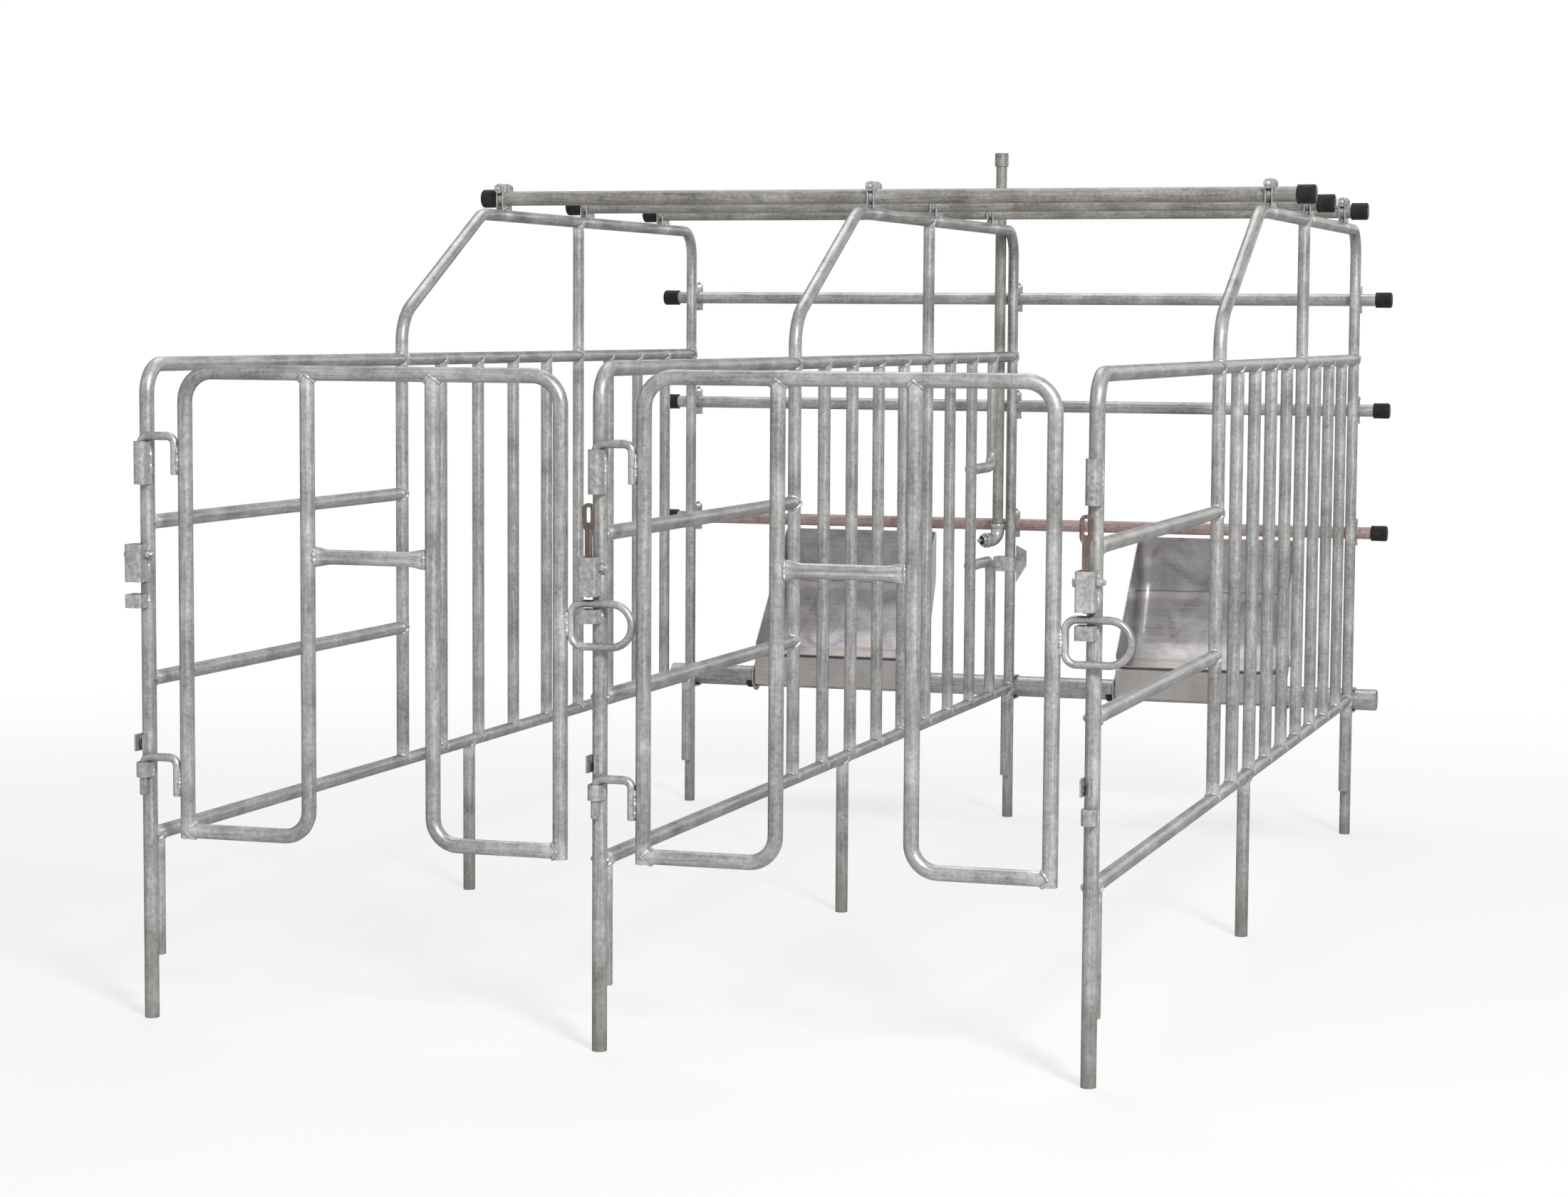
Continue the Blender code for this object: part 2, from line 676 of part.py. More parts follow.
def build_latch_pin(side, x):
    """Build a drop pin, drawn up: a flat stem under a wider eye that stops on the housing."""
    shoulder = LATCH_TOP + GAP + PIN_TRAVEL
    centre = x + PIN_CENTRE
    stem = PIN_STEM_WIDTH / 2
    eye = PIN_EYE_WIDTH / 2
    tip = shoulder - PIN_STEM_LENGTH
    top = shoulder + PIN_EYE_HEIGHT
    outline = [(centre - stem, shoulder), (centre - stem, tip + stem / 2), (centre - stem / 2, tip)]
    outline += [(centre + stem / 2, tip), (centre + stem, tip + stem / 2), (centre + stem, shoulder)]
    outline += [(centre + eye, shoulder)] + arc((centre, top - eye), eye, 0, 180, 8) + [(centre - eye, shoulder)]
    front = -LATCH_FRONT + LATCH_WALL / 2 + PIN_CLEARANCE
    back = front + PIN_THICKNESS
    body = bmesh.new()
    plate(body, outline, "Y", front, back)
    half = PIN_HOLE_WIDTH / 2
    low = top - eye + half - PIN_HOLE_HEIGHT + half
    slot = bmesh.new()
    rim = arc((centre, top - eye), half, 0, 180, 6) + arc((centre, low), half, 180, 360, 6)
    plate(slot, rim, "Y", front - PIN_THICKNESS, back + PIN_THICKNESS)
    pin = combine(body, [("DIFFERENCE", slot)])
    place("latch_pin_" + side, pin, "brown_steel", (centre, (front + back) / 2, shoulder))


def gate_tube(places, radii=(), copes=(None, None), radius=TUBE_R, sides=TUBE_SIDES, phase=0.0):
    """Return a tube or a rod that lies in the plane of the gates, from (x, z) places."""
    work = bmesh.new()
    corners = [Vector((x, GATE_Y, z)) for x, z in places]
    tube(work, corners, radii, Y_AXIS, radius, sides, copes, phase)
    return work


def build_gate(side, post):
    """Build one gate, hung on the post at its left and latched to the post at its right."""
    name = "gate_" + side
    origin = (post, GATE_Y, 0)
    hinge_stile = post + GATE_HINGE_STILE
    latch_stile = post + STALL_WIDTH - GATE_LATCH_STILE
    frame_path = (
        (hinge_stile, GATE_BOTTOM),
        (hinge_stile, GATE_TOP),
        (latch_stile, GATE_TOP),
        (latch_stile, GATE_BOTTOM),
    )
    place(name + "_frame", gate_tube(frame_path, (GATE_CORNER, GATE_CORNER)), "galvanised", origin)

    step = (latch_stile - hinge_stile) / 3
    inner = []
    for x, stile in ((hinge_stile + step, hinge_stile), (latch_stile - step, latch_stile)):
        path = ((x, GATE_TOP), (x, GATE_FOOT_BAR), (stile, GATE_FOOT_BAR))
        inner.append(gate_tube(path, (GATE_FOOT_BEND,), (TUBE_R, TUBE_R)))
    cross_path = ((hinge_stile + step, GATE_CROSSBAR), (latch_stile - step, GATE_CROSSBAR))
    inner.append(gate_tube(cross_path, phase=BRANCH))
    place(name + "_inner_tubes", joined(inner), "galvanised", origin)

    weld = hinge_stile - TUBE_R - HOOK_R - GAP
    hooks = (("upper", UPPER_HOOK_TOP, UPPER_HOOK_LEG), ("lower", LOWER_HOOK_TOP, LOWER_HOOK_LEG))
    for level, top, leg in hooks:
        path = ((weld, top - leg), (weld, top), (post, top), (post, top - leg))
        hook = gate_tube(path, (HOOK_BEND, HOOK_BEND), radius=HOOK_R, sides=ROD_SIDES)
        place(f"{name}_{level}_hook", hook, "galvanised", origin)

    loop = bmesh.new()
    near = latch_stile + TUBE_R + LOOP_R + GAP
    far = post + STALL_WIDTH + LOOP_REACH
    top = LATCH_TOP - LOOP_DROP
    low = top - LOOP_HEIGHT
    spots = ((near, top), (far, top), (far, low), (near, low))
    corners = [Vector((x, GATE_Y, z)) for x, z in spots]
    half = LOOP_HEIGHT / 2
    closed_loop(loop, corners, (LOOP_CORNER, half, half, LOOP_CORNER), Y_AXIS, LOOP_R, ROD_SIDES)
    place(name + "_latch_loop", loop, "galvanised", origin)


def clamp_offset(bar_r):
    """Return the distance between the axis of a clamped bar and the axis of the tube below it."""
    return bar_r + CLAMP_SEAT + TUBE_R


def clamp(bar_r):
    """Return a pressed clamp and its bolt: a web round a bar between two flanges, on a tube along Y."""
    half_width = CLAMP_WIDTH / 2
    half_depth = CLAMP_DEPTH / 2
    top = BOLT_RISE + CLAMP_EAR
    foot = TUBE_R / 2 - clamp_offset(bar_r)
    bore = bar_r + GAP
    slot = CLAMP_SLOT / 2
    open_angle = 360 / TUBE_SIDES
    outline = [(-slot, top), (-slot, bore)]
    outline += arc((0, 0), bore, 90 + open_angle, 450 - open_angle, TUBE_SIDES - 2)
    outline += [(slot, bore), (slot, top), (half_depth - CLAMP_CHAMFER, top), (half_depth, top - CLAMP_CHAMFER)]
    outline += [(half_depth, foot), (-half_depth, foot)]
    outline += [(-half_depth, top - CLAMP_CHAMFER), (CLAMP_CHAMFER - half_depth, top)]
    inside = half_width - FLANGE_WALL
    web = bore + WEB_WALL
    steps = []
    for hand in (-1, 1):
        near, far = hand * web, hand * 2 * half_depth
        pocket = ((near, 2 * foot), (far, 2 * foot), (far, 2 * top), (near, 2 * top))
        steps.append(("DIFFERENCE", plate_of(pocket, "X", -inside, inside)))
    grip = CLAMP_DEPTH - 2 * GAP
    steps.append(("UNION", bolt_of((0, -grip / 2, BOLT_RISE), Y_AXIS, grip)))
    return combine(plate_of(outline, "X", -half_width, half_width), steps)


def top_bar_places():
    """Return the Y places of the bars across the arches."""
    return [ARCH_APEX + step for step in TOP_BAR_AFTER_APEX] + [PANEL_LENGTH - TOP_BAR_BEFORE_POST]


def top_bar_height():
    """Return the height of the axes of the bars across the arches."""
    return ARCH_HEIGHT + clamp_offset(TOP_BAR_R)


def front_bar_place():
    """Return the Y place of the axes of the bars behind the front posts."""
    return PANEL_LENGTH + clamp_offset(FRONT_BAR_R)


def capped_bar(start, end, bar_r):
    """Return a bar along X with a rubber cap, as a wider sleeve, on each end."""
    cap_r = bar_r + CAP_WALL
    length = end.x - start.x
    rows = [
        (0.0, cap_r, TUBE_SIDES),
        (CAP_LENGTH, cap_r, TUBE_SIDES),
        (CAP_LENGTH, bar_r, TUBE_SIDES),
        (length - CAP_LENGTH, bar_r, TUBE_SIDES),
        (length - CAP_LENGTH, cap_r, TUBE_SIDES),
        (length, cap_r, TUBE_SIDES),
    ]
    work = bmesh.new()
    turned(work, start, X_AXIS, rows)
    return work


def build_crossbars():
    """Build the bars across the arches and behind the front posts, with their end caps."""
    height = top_bar_height()
    for title, y, reach in zip(("rear", "middle", "front"), top_bar_places(), TOP_BAR_RIGHTS):
        start = Vector((-STALL_WIDTH - TOP_BAR_LEFT, y, height))
        end = Vector((STALL_WIDTH + reach, y, height))
        place("top_crossbar_" + title, capped_bar(start, end, TOP_BAR_R), "weathered", (0, y, height))

    y = front_bar_place()
    reach = STALL_WIDTH + FRONT_BAR_OVERHANG
    names = ("front_crossbar_upper", "front_crossbar_middle", "trough_guard_bar")
    for title, height in zip(names, FRONT_BAR_HEIGHTS):
        finish = "pinkish" if title == "trough_guard_bar" else "galvanised"
        bar = capped_bar(Vector((-reach, y, height)), Vector((reach, y, height)), FRONT_BAR_R)
        place(title, bar, finish, (0, y, height))


def feeder_place():
    """Return the (y, z) place of the feeder tube's axis, behind the front posts."""
    return (PANEL_LENGTH + TUBE_R + GAP + FEEDER_TUBE_R, FEEDER_HEIGHT)


def build_feeder_tube():
    """Build the large tube under the troughs."""
    y, z = feeder_place()
    ends = ((-STALL_WIDTH - FEEDER_LEFT, y, z), (STALL_WIDTH + FEEDER_RIGHT, y, z))
    work = bmesh.new()
    pipe(work, ends, (), Z_AXIS, FEEDER_TUBE_R, FEEDER_TUBE_R - FEEDER_TUBE_WALL, FEEDER_SIDES)
    place("feeder_tube", work, "galvanised", (0, y, z))


def feeder_saddle(x):
    """Return the saddle that is welded to a front post and holds the feeder tube."""
    y, z = feeder_place()
    middle = FEEDER_TUBE_R + GAP + SADDLE_WALL / 2
    weld = PANEL_LENGTH + TUBE_R / 2
    path = [(weld, z + middle)] + arc((y, z), middle, 90, -90, FEEDER_SIDES // 2) + [(weld, z - middle)]
    return strip_of(path, SADDLE_WALL, "X", x - SADDLE_WIDTH / 2, x + SADDLE_WIDTH / 2)


def trough_profile():
    """Return the middle section of a trough's underside, from the lip to the top of the back."""
    corners = (TROUGH_LIP, TROUGH_FLOOR, TROUGH_HEEL, TROUGH_BACK, (TROUGH_BACK[0], TROUGH_TOP))
    return [(PANEL_LENGTH + y, z) for y, z in flat_path(corners, TROUGH_BENDS)]


def trough_section(inset):
    """Return (across, rise) places of a trough's section: flat, with a quarter round to each side."""
    half = TROUGH_WIDTH / 2 - inset
    radius = TROUGH_CORNER - inset
    right = [(half - radius + a, inset + radius - b) for a, b in arc((0, 0), radius, 90, 0, 4)]
    left = [(-across, rise) for across, rise in right[::-1]]
    return left + right


def trough_skin(work, centre, inset):
    """Add one skin of a trough as columns of vertices, with its two flat sides."""
    columns = []
    for across, rise in trough_section(inset):
        line = offset_path(trough_profile(), rise)
        columns.append([work.verts.new((centre + across, y, z)) for y, z in line])
    for first, second in zip(columns, columns[1:]):
        for index in range(len(first) - 1):
            work.faces.new((first[index], first[index + 1], second[index + 1], second[index]))
    work.faces.new(columns[0])
    work.faces.new(columns[-1])
    return columns


def trough_shell(centre):
    """Return the bent sheet of a trough: two skins joined round the rim."""
    work = bmesh.new()
    outer = trough_skin(work, centre, 0.0)
    inner = trough_skin(work, centre, TROUGH_WALL)
    for end in (0, -1):
        for index in range(len(outer) - 1):
            work.faces.new((outer[index][end], outer[index + 1][end], inner[index + 1][end], inner[index][end]))
        side = end
        work.faces.new((outer[side][0], outer[side][-1], inner[side][-1], inner[side][0]))
    return work


def trough_apron(centre):
    """Return the sheet that hangs from a trough's lip, with its flange welded under the floor."""
    lip = Vector(TROUGH_LIP)
    slope = (Vector(TROUGH_FLOOR) - lip).normalized()
    normal = Vector((-slope.y, slope.x))
    start = lip - normal * (TROUGH_WALL / 4)
    plane = lip.x + TROUGH_WALL / 2
    corner = start + slope * ((plane - start.x) / slope.x)
    corners = ((plane, APRON_BOTTOM), tuple(corner), tuple(corner + slope * APRON_FLANGE))
    path = [(PANEL_LENGTH + y, z) for y, z in flat_path(corners, (APRON_BEND,))]
    half = TROUGH_WIDTH / 2 - APRON_INSET
    return strip_of(path, TROUGH_WALL, "X", centre - half, centre + half)


def belt(first, first_r, second, second_r, steps):
    """Return the outline of a belt round two circles."""
    way = Vector(second) - Vector(first)
    base = math.degrees(math.atan2(way.y, way.x))
    open_angle = math.degrees(math.acos((first_r - second_r) / way.length))
    return arc(first, first_r, base + open_angle, base + 360 - open_angle, steps) + arc(
        second, second_r, base - open_angle, base + open_angle, steps // 2
    )


def build_troughs():
    """Build the two troughs and the brackets, with their bolts, that carry them on the feeder tube."""
    bolt_place = (PANEL_LENGTH + BRACKET_BOLT[0], BRACKET_BOLT[1])
    tube_place = feeder_place()
    bore_r = FEEDER_TUBE_R + GAP
    outline = belt(tube_place, bore_r + BRACKET_RING, bolt_place, BRACKET_ARM / 2, 12)
    middle = STALL_WIDTH / 2 + TROUGH_OFFSET
    for side, centre in (("left", -middle), ("right", middle)):
        hole = round_bar(X_AXIS, (centre, *bolt_place), BOLT_HOLE_R, 2 * TROUGH_WIDTH, ROD_SIDES, Z_AXIS)
        steps = [("UNION", trough_apron(centre)), ("DIFFERENCE", hole)]
        place("trough_" + side, combine(trough_shell(centre), steps), "stainless", (centre, *tube_place))
        for end, hand in (("left", -1), ("right", 1)):
            near = centre + hand * (TROUGH_WIDTH / 2 + GAP)
            far = near + hand * BRACKET_WALL
            low, high = min(near, far), max(near, far)
            bore = round_bar(X_AXIS, (near, *tube_place), bore_r, TROUGH_WIDTH, FEEDER_SIDES, Z_AXIS)
            grip = BRACKET_WALL - GAP + TROUGH_WALL + 2 * GAP
            fixing = bolt_of((far - hand * GAP, *bolt_place), -hand * X_AXIS, grip)
            steps = [("DIFFERENCE", bore), ("UNION", fixing)]
            bracket = combine(plate_of(outline, "X", low, high), steps)
            place(f"trough_{side}_bracket_{end}", bracket, "galvanised", (near, *tube_place))


def pipe_place():
    """Return the (x, y) place of the water pipe, which leans on the middle panel's top rail."""
    return (-(TUBE_R + PIPE_R + GAP), PANEL_LENGTH - PIPE_BACK)


def build_drinker():
    """Build the water pipe, its open socket, the elbow at its foot and the push nipple."""
    x, y = pipe_place()
    work = bmesh.new()
    pipe(work, ((x, y, PIPE_BOTTOM), (x, y, PIPE_TOP)), (), X_AXIS, PIPE_R, PIPE_BORE)
    place("water_pipe", work, "weathered", (x, y, PIPE_BOTTOM))

    bore = PIPE_R + GAP
    outer = bore + PIPE_SOCKET_WALL
    low = PIPE_TOP + PIPE_SOCKET_LIP - PIPE_SOCKET_HEIGHT
    work = bmesh.new()
    pipe(work, ((x, y, low), (x, y, PIPE_TOP + PIPE_SOCKET_LIP)), (), X_AXIS, outer, bore)
    place("pipe_socket", work, "weathered", (x, y, PIPE_TOP))

    way = Vector((-math.sin(ELBOW_YAW), -math.cos(ELBOW_YAW), 0.0))
    top = Vector((x, y, PIPE_BOTTOM - GAP))
    corner = top - Z_AXIS * ELBOW_DROP
    mouth = corner + way * ELBOW_MOUTH
    normal = way.cross(Z_AXIS)
    work = bmesh.new()
    pipe(work, (top, corner, mouth), (ELBOW_BEND,), normal, ELBOW_R, ELBOW_BORE)
    place("drinker_elbow", work, "stainless", tuple(corner))

    body_r = ELBOW_BORE - GAP
    rows = [
        (GAP, body_r, TUBE_SIDES),
        (GAP, NIPPLE_FLANGE_R, TUBE_SIDES),
        (GAP + NIPPLE_FLANGE, NIPPLE_FLANGE_R, TUBE_SIDES),
        (GAP + NIPPLE_FLANGE, NIPPLE_BORE, TUBE_SIDES),
        (-NIPPLE_BODY, NIPPLE_BORE, TUBE_SIDES),
        (-NIPPLE_BODY, body_r, TUBE_SIDES),
    ]
    work = bmesh.new()
    turned(work, mouth, way, rows, closed=True, normal=normal)
    place("nipple_body", work, "stainless", tuple(mouth))

    reach = NIPPLE_FLANGE + NIPPLE_PIN_OUT
    rows = [
        (-NIPPLE_BODY, NIPPLE_PIN_R, TUBE_SIDES),
        (reach - NIPPLE_PIN_R / 2, NIPPLE_PIN_R, TUBE_SIDES),
        (reach, NIPPLE_PIN_R / 2, TUBE_SIDES),
    ]
    work = bmesh.new()
    turned(work, mouth, way, rows, normal=normal)
    place("nipple_pin", work, "stainless", tuple(mouth))


def build_drinker_clamp():
    """Build the strap and pointed plate on the middle front post under the drinker."""
    middle = TUBE_R + GAP + SADDLE_WALL / 2
    reach = TUBE_R + DRINKER_CLAMP_WIDTH
    path = [(-reach, PANEL_LENGTH - middle)]
    path += arc((0, PANEL_LENGTH), middle, -90, 90, TUBE_SIDES // 2)
    path += [(-reach, PANEL_LENGTH + middle)]
    low = DRINKER_CLAMP_TOP - DRINKER_CLAMP_HEIGHT
    strap_low = low + (DRINKER_CLAMP_HEIGHT - DRINKER_STRAP_HEIGHT) / 2
    strap = strip_of(path, SADDLE_WALL, "Z", strap_low, strap_low + DRINKER_STRAP_HEIGHT)
    bolt_x = -TUBE_R - DRINKER_CLAMP_WIDTH / 2
    bolt_z = strap_low + DRINKER_STRAP_HEIGHT / 2
    grip = 2 * (middle + SADDLE_WALL / 2 - GAP)
    near = middle
    far = near + DRINKER_CLAMP_WIDTH
    shoulder = DRINKER_CLAMP_TOP - DRINKER_CLAMP_WIDTH / 2
    outline = ((near, low), (far, shoulder - DRINKER_STRAP_HEIGHT), (far, shoulder), (near, DRINKER_CLAMP_TOP))
    half = SADDLE_WALL / 2
    lever = plate_of(outline, "Y", PANEL_LENGTH - half, PANEL_LENGTH + half)
    fixing = bolt_of((bolt_x, PANEL_LENGTH - grip / 2, bolt_z), Y_AXIS, grip)
    place("drinker_clamp", joined([strap, lever, fixing]), "galvanised", (0, PANEL_LENGTH, bolt_z))


def main():
    """Build the whole crate."""
    clear_scene()
    for side, x in PANELS.items():
        build_panel(side, x)
        build_hinge_sockets(side, x)
        build_latch(side, x)
    build_latch_pin("left", PANELS["middle"])
    build_latch_pin("right", PANELS["right"])
    build_gate("left", PANELS["left"])
    build_gate("right", PANELS["middle"])
    build_crossbars()
    build_feeder_tube()
    build_troughs()
    build_drinker()
    build_drinker_clamp()


main()
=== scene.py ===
"""Looks of a sow gestation crate: two stalls of galvanised tube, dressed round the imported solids.

Units are metres and +Z is up. X runs across the stalls, and Y runs from the rear gates to the troughs.
"""

from __future__ import annotations

import logging
import math
from collections.abc import Sequence
from dataclasses import dataclass
from enum import Enum

import bmesh
import bpy
import numpy as np
from mathutils import Matrix, Vector


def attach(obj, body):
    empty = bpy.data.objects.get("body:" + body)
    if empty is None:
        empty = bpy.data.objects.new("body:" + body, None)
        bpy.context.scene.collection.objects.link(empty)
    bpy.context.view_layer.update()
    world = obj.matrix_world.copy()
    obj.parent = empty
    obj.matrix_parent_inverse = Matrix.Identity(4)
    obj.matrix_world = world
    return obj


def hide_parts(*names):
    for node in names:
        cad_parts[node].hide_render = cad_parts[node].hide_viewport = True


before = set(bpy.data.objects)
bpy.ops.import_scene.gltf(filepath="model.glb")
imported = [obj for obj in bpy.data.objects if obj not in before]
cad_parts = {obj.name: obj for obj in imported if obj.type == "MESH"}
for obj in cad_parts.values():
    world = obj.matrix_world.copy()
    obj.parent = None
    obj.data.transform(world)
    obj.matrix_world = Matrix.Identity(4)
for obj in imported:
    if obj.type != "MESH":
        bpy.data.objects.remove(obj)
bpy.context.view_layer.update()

Array = np.ndarray
Floats = Sequence[float]
Pair = tuple[float, float]
Row = tuple[float, float, float]
Colour = tuple[float, float, float]
Weld = tuple[Floats, float]
Socket = bpy.types.NodeSocket

LOG = logging.getLogger("crate")
X_AXIS = np.array((1.0, 0.0, 0.0))
Y_AXIS = np.array((0.0, 1.0, 0.0))
Z_AXIS = np.array((0.0, 0.0, 1.0))
ROOT = "crate"                  # the body of everything that doesn't move
FACETS = 28                     # points round a tube
ROD_FACETS = 20                 # points round a bent rod
BEAD_FACETS = 10                # points round a weld bead
BEAD_RINGS = 40                 # rings of a weld bead that goes round a tube
ARC_STEP = math.radians(7.5)    # greatest turn between two stations of a bend
STRAIGHT_STEP = 0.016           # distance between two stations of a straight
BEAD_STEP = 0.0012              # distance between two rings of a straight bead
SAME_POINT = 1e-6               # distance under which two places are one
ROUND = 1.0                     # half width across flats that no round row reaches
SHARP_FROM = math.radians(38)   # angle from which an edge is shaded as sharp
WORN_FROM = math.radians(32)    # angle from which an edge is worn round
THIN_EDGE = 0.0005              # worn edge of sheet and plate
WELD_REACH = 0.007              # how far from a weld its heat marks fade out
FLOW_SHIFT = np.array((0.37, 0.23, 1.31))   # how far a pattern shifts from part to part


class End(Enum):
    """How a swept tube ends."""

    BURIED = "closed flat, inside the piece that it meets"
    OPEN = "cut square, with its wall and its dark bore to be seen"
    ROUNDED = "closed, with a worn edge"


class Slot(Enum):
    """The record's material slots."""

    TUBE = "galvanised_tube"
    PLATE = "galvanised_plate"
    WEATHERED = "weathered_bar"
    STAINED = "stained_bar"
    SHEET = "stainless_sheet"
    BOLT = "zinc_bolt"
    FITTING = "plated_fitting"
    PIN = "rusted_pin"
    RUBBER = "cap_rubber"


def unit(vector: Array) -> Array:
    """Return a vector scaled to length one."""
    return vector / np.linalg.norm(vector)


def around(count: int) -> Array:
    """Return even angles round a circle."""
    return np.linspace(0.0, 2 * math.pi, count, endpoint=False)


def lumps(angles: Array, seed: float, share: float) -> Array:
    """Return an uneven factor about one, as a sum of three sines of a closed angle.

    Args:
        angles: angles in radians.
        seed: number that shifts the sines against each other.
        share: largest departure from one.

    Returns:
        One factor for each angle.
    """
    first = np.sin(3 * angles + 2.1 * seed)
    second = np.sin(7 * angles + 4.7 * seed)
    third = np.sin(11 * angles + 8.3 * seed)
    return 1.0 + share * (0.5 * first + 0.3 * second + 0.2 * third)


@dataclass(frozen=True)
class Path:
    """A line in space, as stations with a place and a direction each."""

    points: Array
    ways: Array

    @property
    def runs(self) -> Array:
        """Return how far along the path each station lies."""
        steps = np.linalg.norm(np.diff(self.points, axis=0), axis=1)
        return np.concatenate(([0.0], np.cumsum(steps)))

    @classmethod
    def through(cls, corners: Sequence, radii: Floats = (), closed: bool = False) -> Path:
        """Return a path through corners that are rounded with arcs.

        An arc is its centre minus the inward normal times the cosine of the turn, plus the incoming
        direction times its sine, both times the radius. A straight is a blend of its two ends.

        Args:
            corners: places of two or three numbers.
            radii: one bend radius for each corner that turns.
            closed: whether the last corner leads back to the first.

        Returns:
            The path, with stations no further apart than the steps above.
        """
        spots = np.asarray(corners, float)
        if spots.shape[1] == 2:
            spots = np.column_stack((spots, np.zeros(len(spots))))
        legs = np.roll(spots, -1, axis=0) - spots
        heads = legs / np.linalg.norm(legs, axis=1)[:, None]
        if not closed:
            heads[-1] = heads[-2]
        bends = list(radii) if closed else [0.0, *radii, 0.0]
        arcs = []
        for index, radius in enumerate(bends):
            incoming = heads[index - 1] if closed or index else heads[0]
            arcs.append(cls.arc(spots[index], incoming, heads[index], radius))
        points: list[Array] = []
        ways: list[Array] = []
        last = len(arcs) - 1
        for index, (bend, turning) in enumerate(arcs):
            points.append(bend)
            ways.append(turning)
            if index < last or closed:
                start, stop = bend[-1], arcs[(index + 1) % len(arcs)][0][0]
                count = max(1, round(float(np.linalg.norm(stop - start)) / STRAIGHT_STEP))
                share = (np.arange(1, count) / count)[:, None]
                points.append(start + (stop - start) * share)
                ways.append(np.repeat(heads[index][None], count - 1, axis=0))
        places, directions = np.vstack(points), np.vstack(ways)
        gaps = np.linalg.norm(np.diff(places, axis=0), axis=1)
        kept = np.concatenate(([True], gaps > SAME_POINT))
        return cls(places[kept], directions[kept])

    @staticmethod
    def arc(corner: Array, incoming: Array, outgoing: Array, radius: float) -> tuple[Array, Array]:
        """Return one rounded corner as stations.

        Args:
            corner: the sharp corner.
            incoming: direction of the leg that ends there.
            outgoing: direction of the leg that starts there.
            radius: bend radius, or 0 for a sharp corner.

        Returns:
            The places and the directions of its stations.
        """
        turn = math.acos(float(np.clip(incoming @ outgoing, -1.0, 1.0)))
        if radius <= 0.0 or turn < SAME_POINT:
            return corner[None], outgoing[None]
        inward = unit(outgoing - incoming * math.cos(turn))
        start = corner - incoming * (radius * math.tan(turn / 2))
        centre = start + inward * radius
        angle = np.linspace(0.0, turn, max(2, round(turn / ARC_STEP)) + 1)[:, None]
        places = centre + radius * (incoming * np.sin(angle) - inward * np.cos(angle))
        return places, incoming * np.cos(angle) + inward * np.sin(angle)

    @property
    def flat(self) -> Array:
        """Return the first two numbers of each place, for outlines in a plane."""
        return self.points[:, :2]


@dataclass(frozen=True)
class Surface:
    """A mesh as arrays: places, the same places as if each tube were straight, and faces.

    The faces are in arrays by their number of corners.
    """

    points: Array
    flow: Array
    faces: tuple[Array, ...]

    def placed(self, turn: Array, offset: Floats) -> Surface:
        """Return the surface turned by a matrix and then moved."""
        return Surface(self.points @ np.asarray(turn).T + np.asarray(offset), self.flow, self.faces)


def joined(surfaces: Sequence[Surface]) -> Surface:
    """Return several surfaces as one, each with its flow shifted so that patterns don't repeat.

    Args:
        surfaces: the parts; a part's place in the order sets its shift.

    Returns:
        One surface with all their faces.
    """
    faces: list[Array] = []
    flows: list[Array] = []
    start = 0
    for index, surface in enumerate(surfaces):
        faces += [corners + start for corners in surface.faces]
        flows.append(surface.flow + index * FLOW_SHIFT)
        start += len(surface.points)
    return Surface(np.vstack([surface.points for surface in surfaces]), np.vstack(flows), tuple(faces))


def lattice(rows: int, columns: int, loop_rows: bool = False, loop_columns: bool = True) -> Array:
    """Return the four-cornered faces of a grid of points that are stored row by row.

    Args:
        rows: number of rows.
        columns: number of columns.
        loop_rows: whether the last row leads back to the first.
        loop_columns: whether the last column leads back to the first.

    Returns:
        Four point numbers for each face.
    """
    index = np.arange(rows * columns).reshape(rows, columns)
    if loop_rows:
        index = np.vstack((index, index[:1]))
    if loop_columns:
        index = np.hstack((index, index[:, :1]))
    corners = (index[:-1, :-1], index[:-1, 1:], index[1:, 1:], index[1:, :-1])
    return np.stack(corners, axis=-1).reshape(-1, 4)


def skinned(grid: Array, flow: Array, loop_rows: bool = False) -> Surface:
    """Return a grid of points, closed round its columns, as a surface with both ends closed.

    Args:
        grid: places by row and column.
        flow: the same places as if the piece were straight.
        loop_rows: whether the last row leads back to the first, so that there are no ends.

    Returns:
        The closed surface.
    """
    rows, columns = grid.shape[:2]
    faces = [lattice(rows, columns, loop_rows)]
    if not loop_rows:
        ring = np.arange(columns)[None]
        faces += [ring, ring + (rows - 1) * columns]
    return Surface(grid.reshape(-1, 3), flow.reshape(-1, 3), tuple(faces))


def mouth(point: Array, inward: Array, radius: float, wall: float) -> tuple[Array, Array]:
    """Return the rings of an open tube end, from deep in the bore to the outer edge.

    Args:
        point: middle of the end.
        inward: direction back along the tube.
        radius: outer radius.
        wall: thickness of the tube.

    Returns:
        The centre and the radius of each ring.
    """
    depth, rim = 3 * radius, wall / 5
    along = np.array((depth, rim, 0.0, 0.0, rim))
    return point + inward * along[:, None], radius - np.array((wall, wall, wall - rim, rim, 0.0))


def worn(point: Array, inward: Array, radius: float, edge: float) -> tuple[Array, Array]:
    """Return the rings of a closed end with a quarter round edge, from its tip inwards.

    Args:
        point: middle of the end.
        inward: direction back along the tube.
        radius: outer radius.
        edge: radius of the edge.

    Returns:
        The centre and the radius of each ring.
    """
    angle = np.linspace(0.0, math.pi / 2, 4)
    spots = point + inward * (edge * (1 - np.sin(angle)))[:, None]
    return spots[::-1], (radius - edge * (1 - np.cos(angle)))[::-1]


